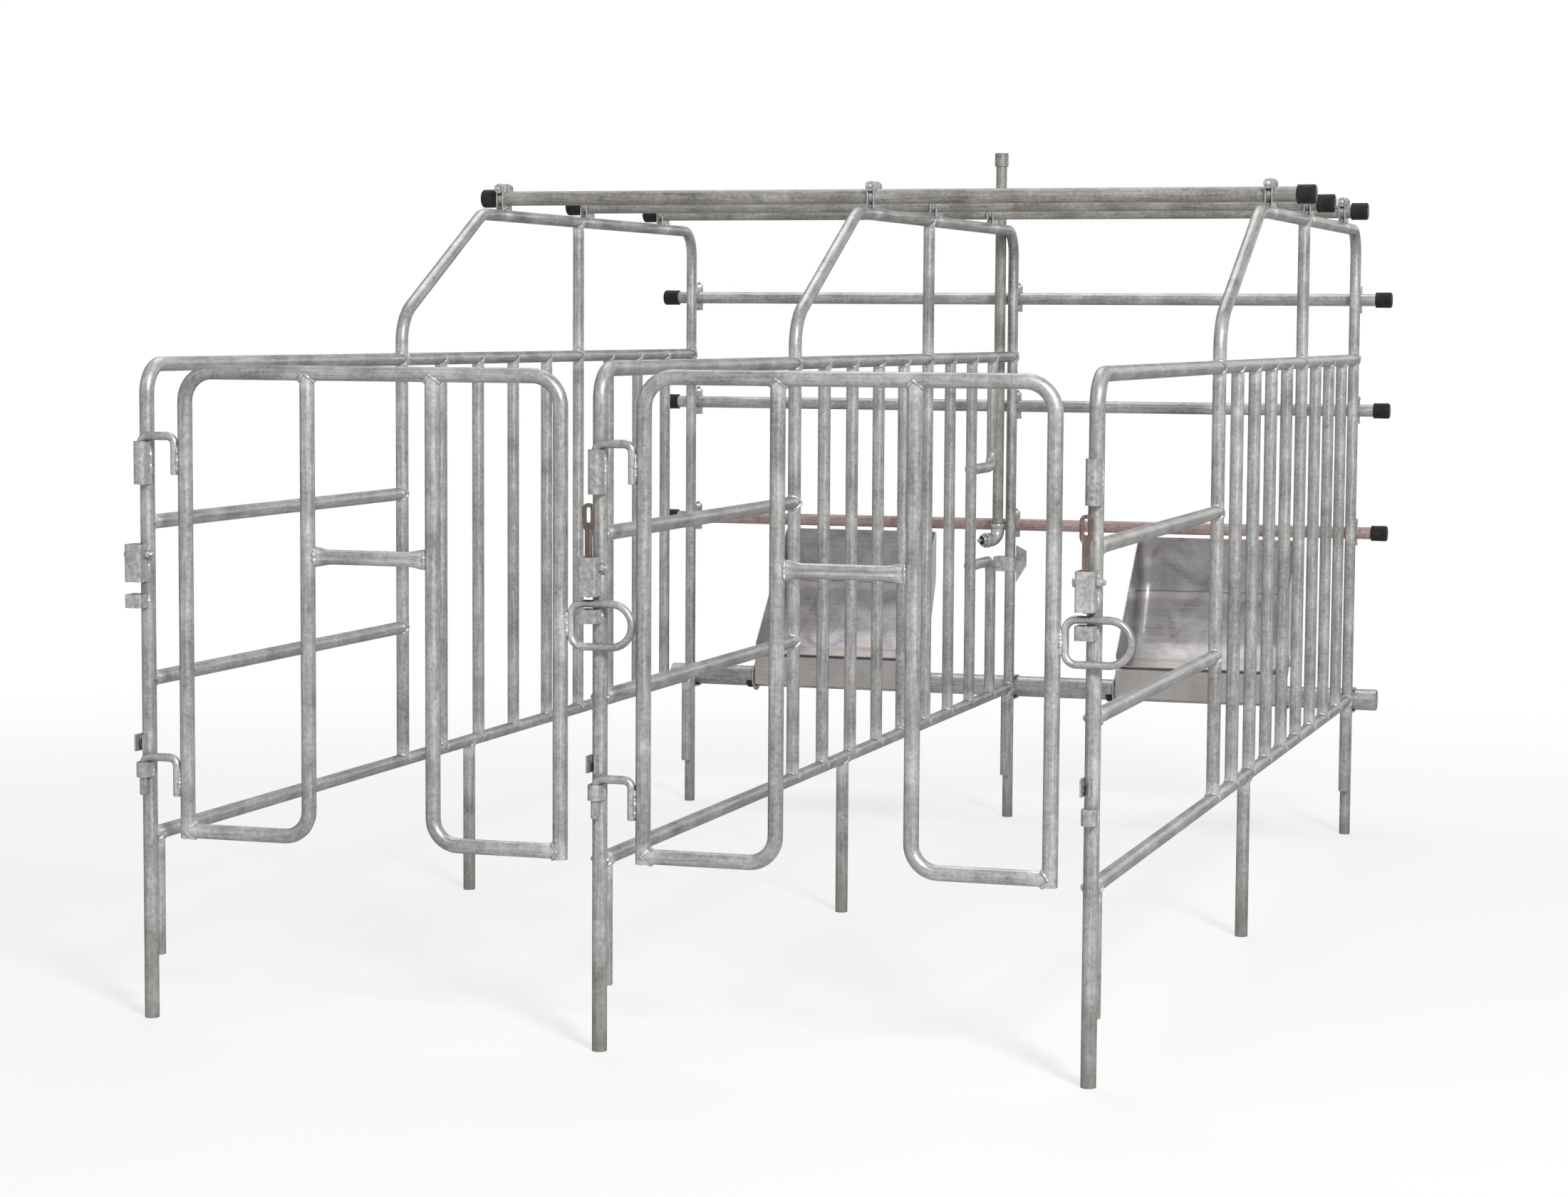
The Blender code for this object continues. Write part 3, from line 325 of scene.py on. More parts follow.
def sweep(
    path: Path,
    normal: Array,
    radius: float,
    ends: tuple[End, End] = (End.BURIED, End.BURIED),
    facets: int = FACETS,
    wall: float = 0.0022,
    closed: bool = False,
) -> Surface:
    """Sweep a circle along a path in one plane.

    A point is the station plus the radius times (normal times cosine plus side times sine), where the
    side is the direction crossed with the normal.

    Args:
        path: the middle line.
        normal: direction square to the plane of the path.
        radius: outer radius.
        ends: how the first and the last end look.
        facets: points round the circle.
        wall: thickness shown at an open end, or the edge radius of a rounded one.
        closed: whether the path is a loop.

    Returns:
        The closed surface.
    """
    centres, ways, runs = path.points, path.ways, path.runs
    reach = np.full(len(centres), radius)
    for last in (False, True):
        kind = ends[1 if last else 0]
        if kind is End.BURIED or closed:
            continue
        tip = -1 if last else 0
        inward = -ways[tip] if last else ways[tip]
        make = mouth if kind is End.OPEN else worn
        spots, radii = make(centres[tip], inward, radius, wall)
        turns = np.repeat(ways[tip][None], len(spots), axis=0)
        travel = np.repeat(runs[tip], len(spots)) + np.linspace(0, wall, len(spots))
        if last:
            centres = np.vstack((centres[:-1], spots[::-1]))
            ways = np.vstack((ways[:-1], turns))
            reach = np.concatenate((reach[:-1], radii[::-1]))
            runs = np.concatenate((runs[:-1], travel))
        else:
            centres = np.vstack((spots, centres[1:]))
            ways = np.vstack((turns, ways[1:]))
            reach = np.concatenate((radii, reach[1:]))
            runs = np.concatenate((travel, runs[1:]))
    angle = around(facets)
    side = np.cross(ways, normal)
    cosine, sine = np.cos(angle)[None, :, None], np.sin(angle)[None, :, None]
    spokes = normal * cosine + side[:, None, :] * sine
    grid = centres[:, None, :] + spokes * reach[:, None, None]
    across = reach[:, None] * np.cos(angle), reach[:, None] * np.sin(angle)
    flow = np.stack((*across, np.repeat(runs[:, None], facets, axis=1)), axis=-1)
    return skinned(grid, flow, closed)


def turned(origin: Floats, way: Array, rows: Sequence[Row], facets: int = 36) -> Surface:
    """Turn rows about an axis.

    A row is a distance along the axis, a half width across flats and a round limit. The radius at an angle
    is the half width over the cosine of the angle's distance from the middle of its sixth of a turn, cut
    off at the round limit, so a large half width gives a circle.

    Args:
        origin: where distances start.
        way: direction of the axis.
        rows: the profile.
        facets: points round the axis, a multiple of six.

    Returns:
        The closed surface.
    """
    table = np.asarray(rows, float)
    normal = X_AXIS if abs(way[2]) > 0.5 else Z_AXIS
    side = np.cross(way, normal)
    angle = around(facets)
    flats = table[:, 1:2] / np.cos(np.mod(angle, math.pi / 3) - math.pi / 6)
    reach = np.minimum(flats, table[:, 2:3])
    spokes = np.cos(angle)[:, None] * normal + np.sin(angle)[:, None] * side
    centres = np.asarray(origin, float) + table[:, 0:1] * way
    grid = centres[:, None, :] + spokes[None] * reach[..., None]
    along = np.repeat(table[:, 0:1], facets, axis=1)
    flow = np.stack((reach * np.cos(angle), reach * np.sin(angle), along), axis=-1)
    return skinned(grid, flow)


def rounds(*spots: Pair) -> list[Row]:
    """Return round rows from distances along the axis and radii."""
    return [(along, ROUND, radius) for along, radius in spots]


def nose(tip: float, hand: float, radius: float, edge: float) -> list[Row]:
    """Return the rows of a quarter round edge, from the full radius out to the tip."""
    turn = np.linspace(0.0, math.pi / 2, 6)
    return rounds(*((tip - hand * edge * (1 - math.sin(a)), radius - edge * (1 - math.cos(a))) for a in turn))


def lifted(axis: str, outline: Array, along: float) -> Array:
    """Return plane places in space: X planes hold (y, z), Y planes (x, z) and Z planes (x, y).

    Args:
        axis: letter of the axis that the plane is square to.
        outline: places in the plane.
        along: the plane's place on that axis.

    Returns:
        Places of three numbers.
    """
    depth = np.full((len(outline), 1), along)
    columns = {"X": (depth, outline[:, :1], outline[:, 1:]), "Y": (outline[:, :1], depth, outline[:, 1:])}
    return np.hstack(columns.get(axis, (outline[:, :1], outline[:, 1:], depth)))


def plate(outline: Array, axis: str, low: float, high: float) -> Surface:
    """Extrude a closed outline between two planes."""
    grid = np.stack((lifted(axis, outline, low), lifted(axis, outline, high)))
    return skinned(grid, grid)


def offset(line: Array, distance: float) -> Array:
    """Return a plane line moved sideways.

    A corner moves by the sum of the normals beside it over one plus their product, which is its mitre.

    Args:
        line: places in a plane.
        distance: how far to the left of its direction the line moves.

    Returns:
        The moved places.
    """
    steps = np.diff(line, axis=0)
    heads = steps / np.linalg.norm(steps, axis=1)[:, None]
    normals = np.column_stack((-heads[:, 1], heads[:, 0]))
    before, after = np.vstack((normals[:1], normals)), np.vstack((normals, normals[-1:]))
    mitre = (before + after) / (1 + np.sum(before * after, axis=1))[:, None]
    return line + mitre * distance


def strip(line: Array, thickness: float, axis: str, low: float, high: float) -> Surface:
    """Extrude a bent sheet whose middle line is a plane line."""
    outline = np.vstack((offset(line, thickness / 2), offset(line, -thickness / 2)[::-1]))
    return plate(outline, axis, low, high)


def arc_points(centre: Floats, radius: float, start: float, stop: float, steps: int) -> Array:
    """Return places on an arc in a plane, with angles in degrees."""
    angle = np.radians(np.linspace(start, stop, steps + 1))
    return np.asarray(centre) + radius * np.column_stack((np.cos(angle), np.sin(angle)))


def fillet(spot: Floats, branch: Array, rail: Array, radii: Pair, size: float) -> Surface:
    """Return the weld bead where a branch tube meets the side of a rail.

    The bead's middle line goes round the branch, and its height above the rail's axis is the root of the
    rail's radius squared less the sideways distance squared. A small uneven circle runs along it.

    Args:
        spot: place on the rail's axis.
        branch: direction from the rail along the branch.
        rail: direction of the rail.
        radii: radius of the branch and of the rail.
        size: radius of the bead.

    Returns:
        A closed ring.
    """
    turn = around(BEAD_RINGS)[:, None]
    seed = float(np.sum(np.asarray(spot) * np.array((31.0, 17.0, 53.0))))
    sideways = np.cross(branch, rail)
    out = np.cos(turn) * rail + np.sin(turn) * sideways
    height = np.sqrt(np.maximum(radii[1] ** 2 - (radii[0] * np.sin(turn)) ** 2, 0.0))
    middle = np.asarray(spot) + out * radii[0] + branch * height
    angle = around(BEAD_FACETS)
    spokes = np.cos(angle)[None, :, None] * out[:, None, :] + np.sin(angle)[None, :, None] * branch
    reach = size * lumps(turn, seed, 0.55)[..., None]
    grid = middle[:, None, :] + spokes * reach
    return skinned(grid, grid, loop_rows=True)


def seam(start: Floats, stop: Floats, size: float) -> Surface:
    """Return a straight weld bead: a rod whose radius is the root of a sine, made uneven on its way.

    Args:
        start: where the bead starts.
        stop: where it ends.
        size: its greatest radius, apart from the lumps.

    Returns:
        The closed surface.
    """
    first, last = np.asarray(start, float), np.asarray(stop, float)
    way = unit(last - first)
    count = max(12, round(float(np.linalg.norm(last - first)) / BEAD_STEP))
    share = np.linspace(0.02, 0.98, count)
    seed = float(first @ np.array((41.0, 23.0, 37.0)))
    reach = size * np.sqrt(np.sin(math.pi * share)) * lumps(share * 2 * math.pi, seed, 0.4)
    normal = X_AXIS if abs(way[0]) < 0.7 else Y_AXIS
    side = np.cross(way, normal)
    angle = around(BEAD_FACETS)
    spokes = np.cos(angle)[:, None] * normal + np.sin(angle)[:, None] * side
    grid = (first + (last - first) * share[:, None])[:, None, :] + spokes[None] * reach[:, None, None]
    return skinned(grid, grid)


class Bench:
    """The node tree of a material or a world, with short calls that add and link its nodes."""

    def __init__(self, owner: bpy.types.Material | bpy.types.World, shader: str = "Principled BSDF") -> None:
        """Start a node tree that holds one shader.

        Args:
            owner: the new material or world.
            shader: the name of the shader that it starts with.
        """
        owner.use_nodes = True
        self.owner = owner
        self.tree = owner.node_tree
        self.shader = self.tree.nodes[shader]

    def feed(self, socket: Socket, value: object) -> None:
        """Link another node's output to a socket, or set the socket's own value.

        Args:
            socket: the input to feed.
            value: an output, or a plain value.
        """
        if isinstance(value, Socket):
            self.tree.links.new(value, socket)
        else:
            socket.default_value = value

    def node(self, kind: str, feeds: dict, **options: object) -> bpy.types.Node:
        """Add a node, set its options, and feed its inputs.

        Args:
            kind: the node's type, without its common first word.
            feeds: a value or an output for each input, by name or number.
            options: the node's own settings.

        Returns:
            The node.
        """
        made = self.tree.nodes.new("ShaderNode" + kind)
        for name, value in options.items():
            setattr(made, name, value)
        for key, value in feeds.items():
            self.feed(made.inputs[key], value)
        return made

    def place(self) -> Socket:
        """Return places on the piece in metres."""
        return self.node("TexCoord", {}).outputs["Object"]

    def attribute(self, name: str, output: str) -> Socket:
        """Return one output of a mesh attribute."""
        return self.node("Attribute", {}, attribute_name=name).outputs[output]

    def stretched(self, place: Socket, scale: Row) -> Socket:
        """Return places scaled by one factor for each axis."""
        return self.node("Mapping", {"Vector": place, "Scale": scale}).outputs[0]

    def noise(
        self, place: Socket, scale: float, detail: float = 3.0, rough: float = 0.55, twist: float = 0.0
    ) -> Socket:
        """Return cloudy noise from 0 to 1."""
        feeds = {"Vector": place, "Scale": scale, "Detail": detail, "Roughness": rough, "Distortion": twist}
        return self.node("TexNoise", feeds).outputs[0]

    def crystals(self, place: Socket, scale: float) -> Socket:
        """Return one tone for each cell of a zinc crystal pattern."""
        cells = self.node("TexVoronoi", {"Vector": place, "Scale": scale}).outputs["Color"]
        return self.node("SeparateColor", {"Color": cells}).outputs[0]

    def height(self, place: Socket) -> Socket:
        """Return the Z of places."""
        return self.node("SeparateXYZ", {"Vector": place}).outputs[2]

    def maths(self, operation: str, first: object, second: object) -> Socket:
        """Return a sum, difference, product or largest of two values."""
        return self.node("Math", {0: first, 1: second}, operation=operation).outputs[0]

    def spread(self, value: object, low: float, high: float, bottom: float = 0.0, top: float = 1.0) -> Socket:
        """Return a value carried from one range to another, and held at its ends."""
        feeds = {"Value": value, 1: low, 2: high, 3: bottom, 4: top}
        return self.node("MapRange", feeds).outputs[0]

    def tone(self, *shares: tuple[Socket, float]) -> Socket:
        """Return one half plus each noise's departure from one half times its weight.

        Args:
            shares: noises with their weights.

        Returns:
            The tone.
        """
        total: object = 0.5 - sum(weight for _, weight in shares) / 2
        for value, weight in shares:
            total = self.maths("ADD", self.maths("MULTIPLY", value, weight), total)
        return total

    def band(self, value: Socket, middle: float, half: float, fade: float) -> Socket:
        """Return 1 within a band about a middle value, fading to 0 outside it."""
        away = self.maths("ABSOLUTE", self.maths("SUBTRACT", value, middle), 0.0)
        return self.spread(away, half, half + fade, 1.0, 0.0)

    def blend(self, share: object, first: object, second: object) -> Socket:
        """Return a mix of two colours."""
        feeds = {0: share, 6: self.solid(first), 7: self.solid(second)}
        return self.node("Mix", feeds, data_type="RGBA").outputs[2]

    @staticmethod
    def solid(colour: object) -> object:
        """Return a colour with its alpha, or a socket as it is."""
        return (*colour, 1.0) if isinstance(colour, tuple) else colour

    def ramp(self, value: Socket, stops: Sequence[tuple[float, Colour]]) -> Socket:
        """Return colours that run through stops.

        Args:
            value: where on the ramp to look.
            stops: positions with their colours, in order.

        Returns:
            The colour.
        """
        node = self.node("ValToRGB", {"Fac": value})
        elements = node.color_ramp.elements
        elements[0].position, elements[0].color = stops[0][0], self.solid(stops[0][1])
        elements[1].position, elements[1].color = stops[-1][0], self.solid(stops[-1][1])
        for position, colour in stops[1:-1]:
            elements.new(position).color = self.solid(colour)
        return node.outputs[0]

    def relief(self, height: Socket, depth: float, strength: float) -> None:
        """Raise and sink the shaded surface by a height pattern."""
        bump = self.node("Bump", {"Height": height, "Distance": depth, "Strength": strength})
        self.feed(self.shader.inputs["Normal"], bump.outputs[0])

    def finish(self, metallic: float, colour: object, roughness: object) -> bpy.types.Material:
        """Feed the shader's main inputs.

        Args:
            metallic: how much of a metal it is.
            colour: the base colour.
            roughness: the roughness.

        Returns:
            The finished material.
        """
        self.shader.inputs["Metallic"].default_value = metallic
        self.feed(self.shader.inputs["Base Color"], colour)
        self.feed(self.shader.inputs["Roughness"], roughness)
        return self.owner


@dataclass(frozen=True)
class MetalFinish:
    """Weathered metal: cloudy blotches, zinc crystals, streaks along the tube, bright welds and rust."""

    slot: Slot
    dark: Colour
    base: Colour
    light: Colour
    metallic: float = 0.50
    gloss: Pair = (0.34, 0.48)
    edge: Colour = (0.16, 0.16, 0.16)   # how much of a mirror the metal is where it is seen edge on
    clouds: float = 0.9
    mottle: float = 0.6
    crystal: float = 0.12
    streaks: float = 0.75
    weld: Colour = (0.52, 0.53, 0.53)
    rust: Colour = (0.21, 0.105, 0.055)
    rust_from: float = 0.70
    grime: Colour = (0.155, 0.145, 0.125)

    def material(self) -> bpy.types.Material:
        """Make the material: its tone is noise at four sizes, and a mesh attribute marks the welds.

        Returns:
            The material.
        """
        bench = Bench(bpy.data.materials.new(self.slot.value))
        place = bench.place()
        weld = bench.attribute("weld", "Fac")
        along = bench.stretched(bench.attribute("flow", "Vector"), (1.0, 1.0, 0.05))
        clouds = bench.noise(place, 13.0, rough=0.6, twist=0.5)
        mottle = bench.noise(place, 165.0, 4.0, 0.62, 0.5)
        specks = bench.noise(place, 700.0, 2.0)
        streaks = bench.noise(along, 300.0, rough=0.6)
        crystal = bench.crystals(place, 210.0)
        tone = bench.tone(
            (clouds, self.clouds),
            (mottle, self.mottle),
            (specks, 0.2),
            (streaks, self.streaks),
            (crystal, self.crystal),
        )
        colour = bench.ramp(tone, ((0.16, self.dark), (0.5, self.base), (0.86, self.light)))
        bright = bench.maths("MULTIPLY", weld, bench.spread(mottle, 0.32, 0.62, 0.25, 0.85))
        colour = bench.blend(bright, colour, self.weld)
        patches = bench.noise(place, 19.0, 5.0, 0.72, 0.3)
        patches = bench.maths("ADD", patches, bench.maths("MULTIPLY", weld, 0.06))
        rusty = bench.spread(patches, self.rust_from, self.rust_from + 0.07, 0.0, 0.8)
        colour = bench.blend(rusty, colour, self.rust)
        waver = bench.maths("ADD", bench.height(place), bench.maths("MULTIPLY", clouds, 0.1))
        low = bench.spread(waver, 0.06, 0.2, 0.6, 0.0)
        colour = bench.blend(low, colour, self.grime)
        rough = bench.spread(bench.tone((clouds, 0.8), (mottle, 0.9), (streaks, 0.5)), 0.2, 0.8, *self.gloss)
        rough = bench.maths("ADD", rough, bench.maths("MULTIPLY", rusty, 0.3))
        rough = bench.maths("SUBTRACT", rough, bench.maths("MULTIPLY", weld, 0.14))
        bench.relief(bench.tone((mottle, 0.5), (clouds, 1.8)), 0.0006, 0.22)
        bench.shader.inputs["Specular Tint"].default_value = bench.solid(self.edge)
        return bench.finish(self.metallic, colour, rough)


@dataclass(frozen=True)
class SheetFinish:
    """Used stainless sheet: brushed across, smudged, with scratches and rust at the lip, and bands of painted
    shade and painted light by height.
    """

    slot: Slot
    dark: Colour = (0.20, 0.185, 0.20)
    base: Colour = (0.36, 0.345, 0.365)
    light: Colour = (0.50, 0.485, 0.51)
    metallic: float = 0.50
    gloss: Pair = (0.24, 0.42)
    fold_height: float = 0.465             # height of the fold in the back, where a thin line of painted shade lies
    lip: float = 0.321              # height of the rusty edge at the front
    # painted shade of the thin line along the fold of the back
    stain: Colour = (0.13, 0.125, 0.11)
    rust: Colour = (0.30, 0.19, 0.085)
    shade: Colour = (0.165, 0.15, 0.17)         # at the top of the back
    below_lip_tone: Colour = (0.355, 0.325, 0.305)        # an even, warmer tone on the apron and the lowest floor, below the lip
    painted_dark_band: Colour = (0.17, 0.175, 0.15)          # painted reflection: a broad dark band under the fold
    painted_light_band: Colour = (0.52, 0.48, 0.42)          # painted highlight: a thin pale band close under the fold line
    scratch: Colour = (0.58, 0.57, 0.58)
    burn: Colour = (0.17, 0.13, 0.10)           # beside the welds

    def material(self) -> bpy.types.Material:
        """Make the material: its marks lie at heights of the inner skin's flow, broken up by noise.

        Returns:
            The material.
        """
        bench = Bench(bpy.data.materials.new(self.slot.value))
        place = bench.place()
        height = bench.height(bench.attribute("flow", "Vector"))
        brushed = bench.noise(bench.stretched(place, (9.0, 420.0, 420.0)), 1.0, rough=0.6)
        smudges = bench.noise(place, 15.0, 4.0, 0.6, 0.8)
        specks = bench.noise(place, 240.0)
        tone = bench.tone((brushed, 0.35), (smudges, 1.3), (specks, 0.3))
        colour = bench.ramp(tone, ((0.16, self.dark), (0.5, self.base), (0.86, self.light)))
        waver = bench.maths("ADD", height, bench.maths("MULTIPLY", smudges, 0.008))
        shade = bench.spread(waver, 0.50, 0.57, 0.0, 0.36)
        colour = bench.blend(shade, colour, self.shade)
        # Below the lip the colour turns to an even, warmer tone.
        below = bench.spread(height, self.lip - 0.005, self.lip - 0.001, 0.7, 0.0)
        colour = bench.blend(below, colour, self.below_lip_tone)
        # Painted shade: a thin dark line along the fold of the back.
        line = bench.maths("MULTIPLY", bench.band(waver, self.fold_height, 0.0008, 0.0016), 0.75)
        colour = bench.blend(line, colour, self.stain)
        # Painted reflection: a broad dark band under the fold line.
        under = bench.maths("MULTIPLY", bench.band(waver, self.fold_height - 0.032, 0.010, 0.020), 0.34)
        colour = bench.blend(under, colour, self.painted_dark_band)
        # Painted highlight: a thin pale band close under the fold line.
        painted_light_share = bench.maths("MULTIPLY", bench.band(waver, self.fold_height - 0.009, 0.004, 0.005), 0.4)
        colour = bench.blend(painted_light_share, colour, self.painted_light_band)
        scratch = bench.noise(bench.stretched(place, (2.6, 900.0, 900.0)), 1.0, 1.0)
        colour = bench.blend(bench.spread(scratch, 0.68, 0.73, 0.0, 0.5), colour, self.scratch)
        edge = bench.band(height, self.lip, 0.0020, 0.0030)
        edge = bench.maths("MULTIPLY", edge, bench.spread(smudges, 0.4, 0.6))
        colour = bench.blend(bench.maths("MULTIPLY", edge, 0.75), colour, self.rust)
        weld = bench.attribute("weld", "Fac")
        colour = bench.blend(bench.maths("MULTIPLY", weld, 0.55), colour, self.burn)
        rough = bench.spread(bench.tone((brushed, 0.8), (smudges, 0.9)), 0.2, 0.8, *self.gloss)
        bench.relief(bench.tone((brushed, 0.5), (smudges, 2.2)), 0.0016, 0.22)
        return bench.finish(self.metallic, colour, rough)


@dataclass(frozen=True)
class RubberFinish:
    """Dull black rubber with pale dust in its pores."""

    slot: Slot
    base: Colour = (0.010, 0.009, 0.009)
    dust: Colour = (0.042, 0.036, 0.032)
    sheen: float = 0.15

    def material(self) -> bpy.types.Material:
        """Make the material: dust gathers where fine noise is high.

        Returns:
            The material.
        """
        bench = Bench(bpy.data.materials.new(self.slot.value))
        place = bench.place()
        cloud, grain = bench.noise(place, 60.0, 4.0), bench.noise(place, 900.0, 2.0)
        dusty = bench.spread(bench.tone((cloud, 1.2), (grain, 0.6)), 0.42, 0.95)
        bench.relief(grain, 0.0004, 0.4)
        bench.shader.inputs["Specular IOR Level"].default_value = self.sheen
        colour = bench.blend(dusty, self.base, self.dust)
        return bench.finish(0.0, colour, bench.spread(cloud, 0.3, 0.7, 0.5, 0.8))


GALVANISED = MetalFinish(
    Slot.TUBE,
    dark=(0.165, 0.165, 0.157),
    base=(0.305, 0.305, 0.296),
    light=(0.485, 0.49, 0.485),
)
PRESSED = MetalFinish(
    Slot.PLATE,
    dark=(0.18, 0.18, 0.172),
    base=(0.335, 0.335, 0.33),
    light=(0.53, 0.535, 0.53),
    streaks=0.3,
    mottle=1.0,
)
WEATHERED = MetalFinish(
    Slot.WEATHERED,
    dark=(0.13, 0.125, 0.115),
    base=(0.255, 0.245, 0.225),
    light=(0.42, 0.41, 0.39),
    metallic=0.35,
    gloss=(0.42, 0.64),
    rust_from=0.66,
)
STAINED = MetalFinish(
    Slot.STAINED,
    dark=(0.165, 0.113, 0.108),
    base=(0.335, 0.245, 0.235),
    light=(0.46, 0.38, 0.36),
    metallic=0.25,
    gloss=(0.42, 0.64),
    rust_from=0.64,
    weld=(0.45, 0.40, 0.39),
)
ZINC = MetalFinish(
    Slot.BOLT,
    dark=(0.19, 0.20, 0.20),
    base=(0.365, 0.38, 0.38),
    light=(0.57, 0.59, 0.59),
    metallic=0.6,
    gloss=(0.28, 0.46),
    streaks=0.0,
)
PLATED = MetalFinish(
    Slot.FITTING,
    dark=(0.22, 0.215, 0.21),
    base=(0.40, 0.40, 0.395),
    light=(0.60, 0.60, 0.595),
    metallic=0.7,
    gloss=(0.22, 0.40),
    crystal=0.05,
)
PIN_STEEL = MetalFinish(
    Slot.PIN,
    dark=(0.060, 0.048, 0.041),
    base=(0.130, 0.103, 0.087),
    light=(0.25, 0.205, 0.175),
    metallic=0.3,
    gloss=(0.45, 0.7),
    crystal=0.0,
    rust_from=0.60,
)
STAINLESS = SheetFinish(Slot.SHEET)
RUBBER = RubberFinish(Slot.RUBBER)


class Looks:
    """The finishes by slot; each material is made once."""

    def __init__(self, finishes: Sequence[MetalFinish | SheetFinish | RubberFinish]) -> None:
        """Pair each slot with its finish.

        Args:
            finishes: one for each slot.
        """
        self.finishes = {finish.slot: finish for finish in finishes}
        self.made: dict[Slot, bpy.types.Material] = {}

    def of(self, slot: Slot) -> bpy.types.Material:
        """Return a slot's material.

        Args:
            slot: the slot.

        Returns:
            Its material, made when it is first asked for.
        """
        if slot not in self.made:
            self.made[slot] = self.finishes[slot].material()
        return self.made[slot]


LOOKS = Looks((GALVANISED, PRESSED, WEATHERED, STAINED, ZINC, PLATED, PIN_STEEL, STAINLESS, RUBBER))


def heat(points: Array, welds: Sequence[Weld]) -> Array:
    """Return how much a weld marks each place: 1 within its core, fading to 0 a short way outside it.

    Args:
        points: places on a piece.
        welds: a middle and a core radius for each weld.

    Returns:
        The largest mark at each place.
    """
    mark = np.zeros(len(points))
    for middle, core in welds:
        away = np.linalg.norm(points - np.asarray(middle), axis=1)
        mark = np.maximum(mark, np.clip(1.0 - (away - core) / WELD_REACH, 0.0, 1.0))
    return mark


def publish(
    name: str,
    surface: Surface,
    slot: Slot,
    stands_for: Sequence[str],
    body: str = ROOT,
    welds: Sequence[Weld] = (),
    edge: float = 0.0,
) -> bpy.types.Object:
    """Put a surface into the scene as one finished piece.

    Args:
        name: the piece's name.
        surface: its mesh as arrays.
        slot: the finish that it takes.
        stands_for: CAD nodes that it is shown in place of.
        body: CAD body that it moves with.
        welds: middles and core radii of the welds that mark it.
        edge: width of the worn edges, or 0 for a piece without sharp ones.

    Returns:
        The object.
    """
    mesh = bpy.data.meshes.new(name)
    faces = [corners for rows in surface.faces for corners in rows.tolist()]
    mesh.from_pydata(surface.points.tolist(), [], faces)
    mesh.attributes.new("flow", "FLOAT_VECTOR", "POINT").data.foreach_set("vector", surface.flow.ravel())
    mesh.attributes.new("weld", "FLOAT", "POINT").data.foreach_set("value", heat(surface.points, welds))
    work = bmesh.new()
    work.from_mesh(mesh)
    bmesh.ops.remove_doubles(work, verts=work.verts, dist=SAME_POINT)
    bmesh.ops.recalc_face_normals(work, faces=work.faces)
    work.to_mesh(mesh)
    work.free()
    mesh.shade_smooth()
    mesh.set_sharp_from_angle(angle=SHARP_FROM)
    mesh.materials.append(LOOKS.of(slot))
    item = bpy.data.objects.new(name, mesh)
    bpy.context.scene.collection.objects.link(item)
    if edge:
        worn_edge = item.modifiers.new("worn_edge", "BEVEL")
        worn_edge.width = edge
        worn_edge.segments = 2
        worn_edge.limit_method = "ANGLE"
        worn_edge.angle_limit = WORN_FROM
        worn_edge.harden_normals = True
    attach(item, body)
    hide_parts(*stands_for)
    LOG.info("%s: %d faces, %s", name, len(mesh.polygons), slot.value)
    return item


@dataclass(frozen=True)
class Layout:
    """Sizes that more than one sub-assembly needs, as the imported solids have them."""

    gap: float = 0.0003             # clearance between pieces that touch
    tube: float = 0.01065           # radius of the panels' and the gates' tube
    stall: float = 0.700            # X distance between two panels
    length: float = 2.400           # Y of the front posts
    rail: float = 0.955             # heights of the top rail, the bottom rail and the arch
    bottom_rail: float = 0.270
    arch: float = 1.212
    apex: float = 1.253             # Y of the arch's corner
    gate: float = -0.019            # Y of the plane in which the gates hang
    upper_hook: float = 0.8525      # heights of the hooks and of the latch's top
    lower_hook: float = 0.387
    latch: float = 0.696
    hook_r: float = 0.0060          # rod radius and bend radius of the hooks
    hook_bend: float = 0.0120
    socket: float = 0.0078          # inner radius and wall of a hinge socket
    socket_wall: float = 0.0027
    feeder_r: float = 0.0212        # radius and place of the feeder tube
    feeder_y: float = 2.43215
    feeder_z: float = 0.270
    front_bars: tuple[float, ...] = (1.074, 0.853, 0.607)

    def behind(self, across: float) -> float:
        """Return how far behind a post's front point its round face lies at a distance across."""
        return math.sqrt((self.tube + self.gap) ** 2 - across**2)


LAYOUT = Layout()
PANELS = {"left": -LAYOUT.stall, "middle": 0.0, "right": LAYOUT.stall}  # the panels' X places
UPRIGHT = np.eye(3)             # turn of a clamp on top of a rail
FORWARD = np.array(((1.0, 0.0, 0.0), (0.0, 0.0, 1.0), (0.0, -1.0, 0.0)))  # and of one behind a post


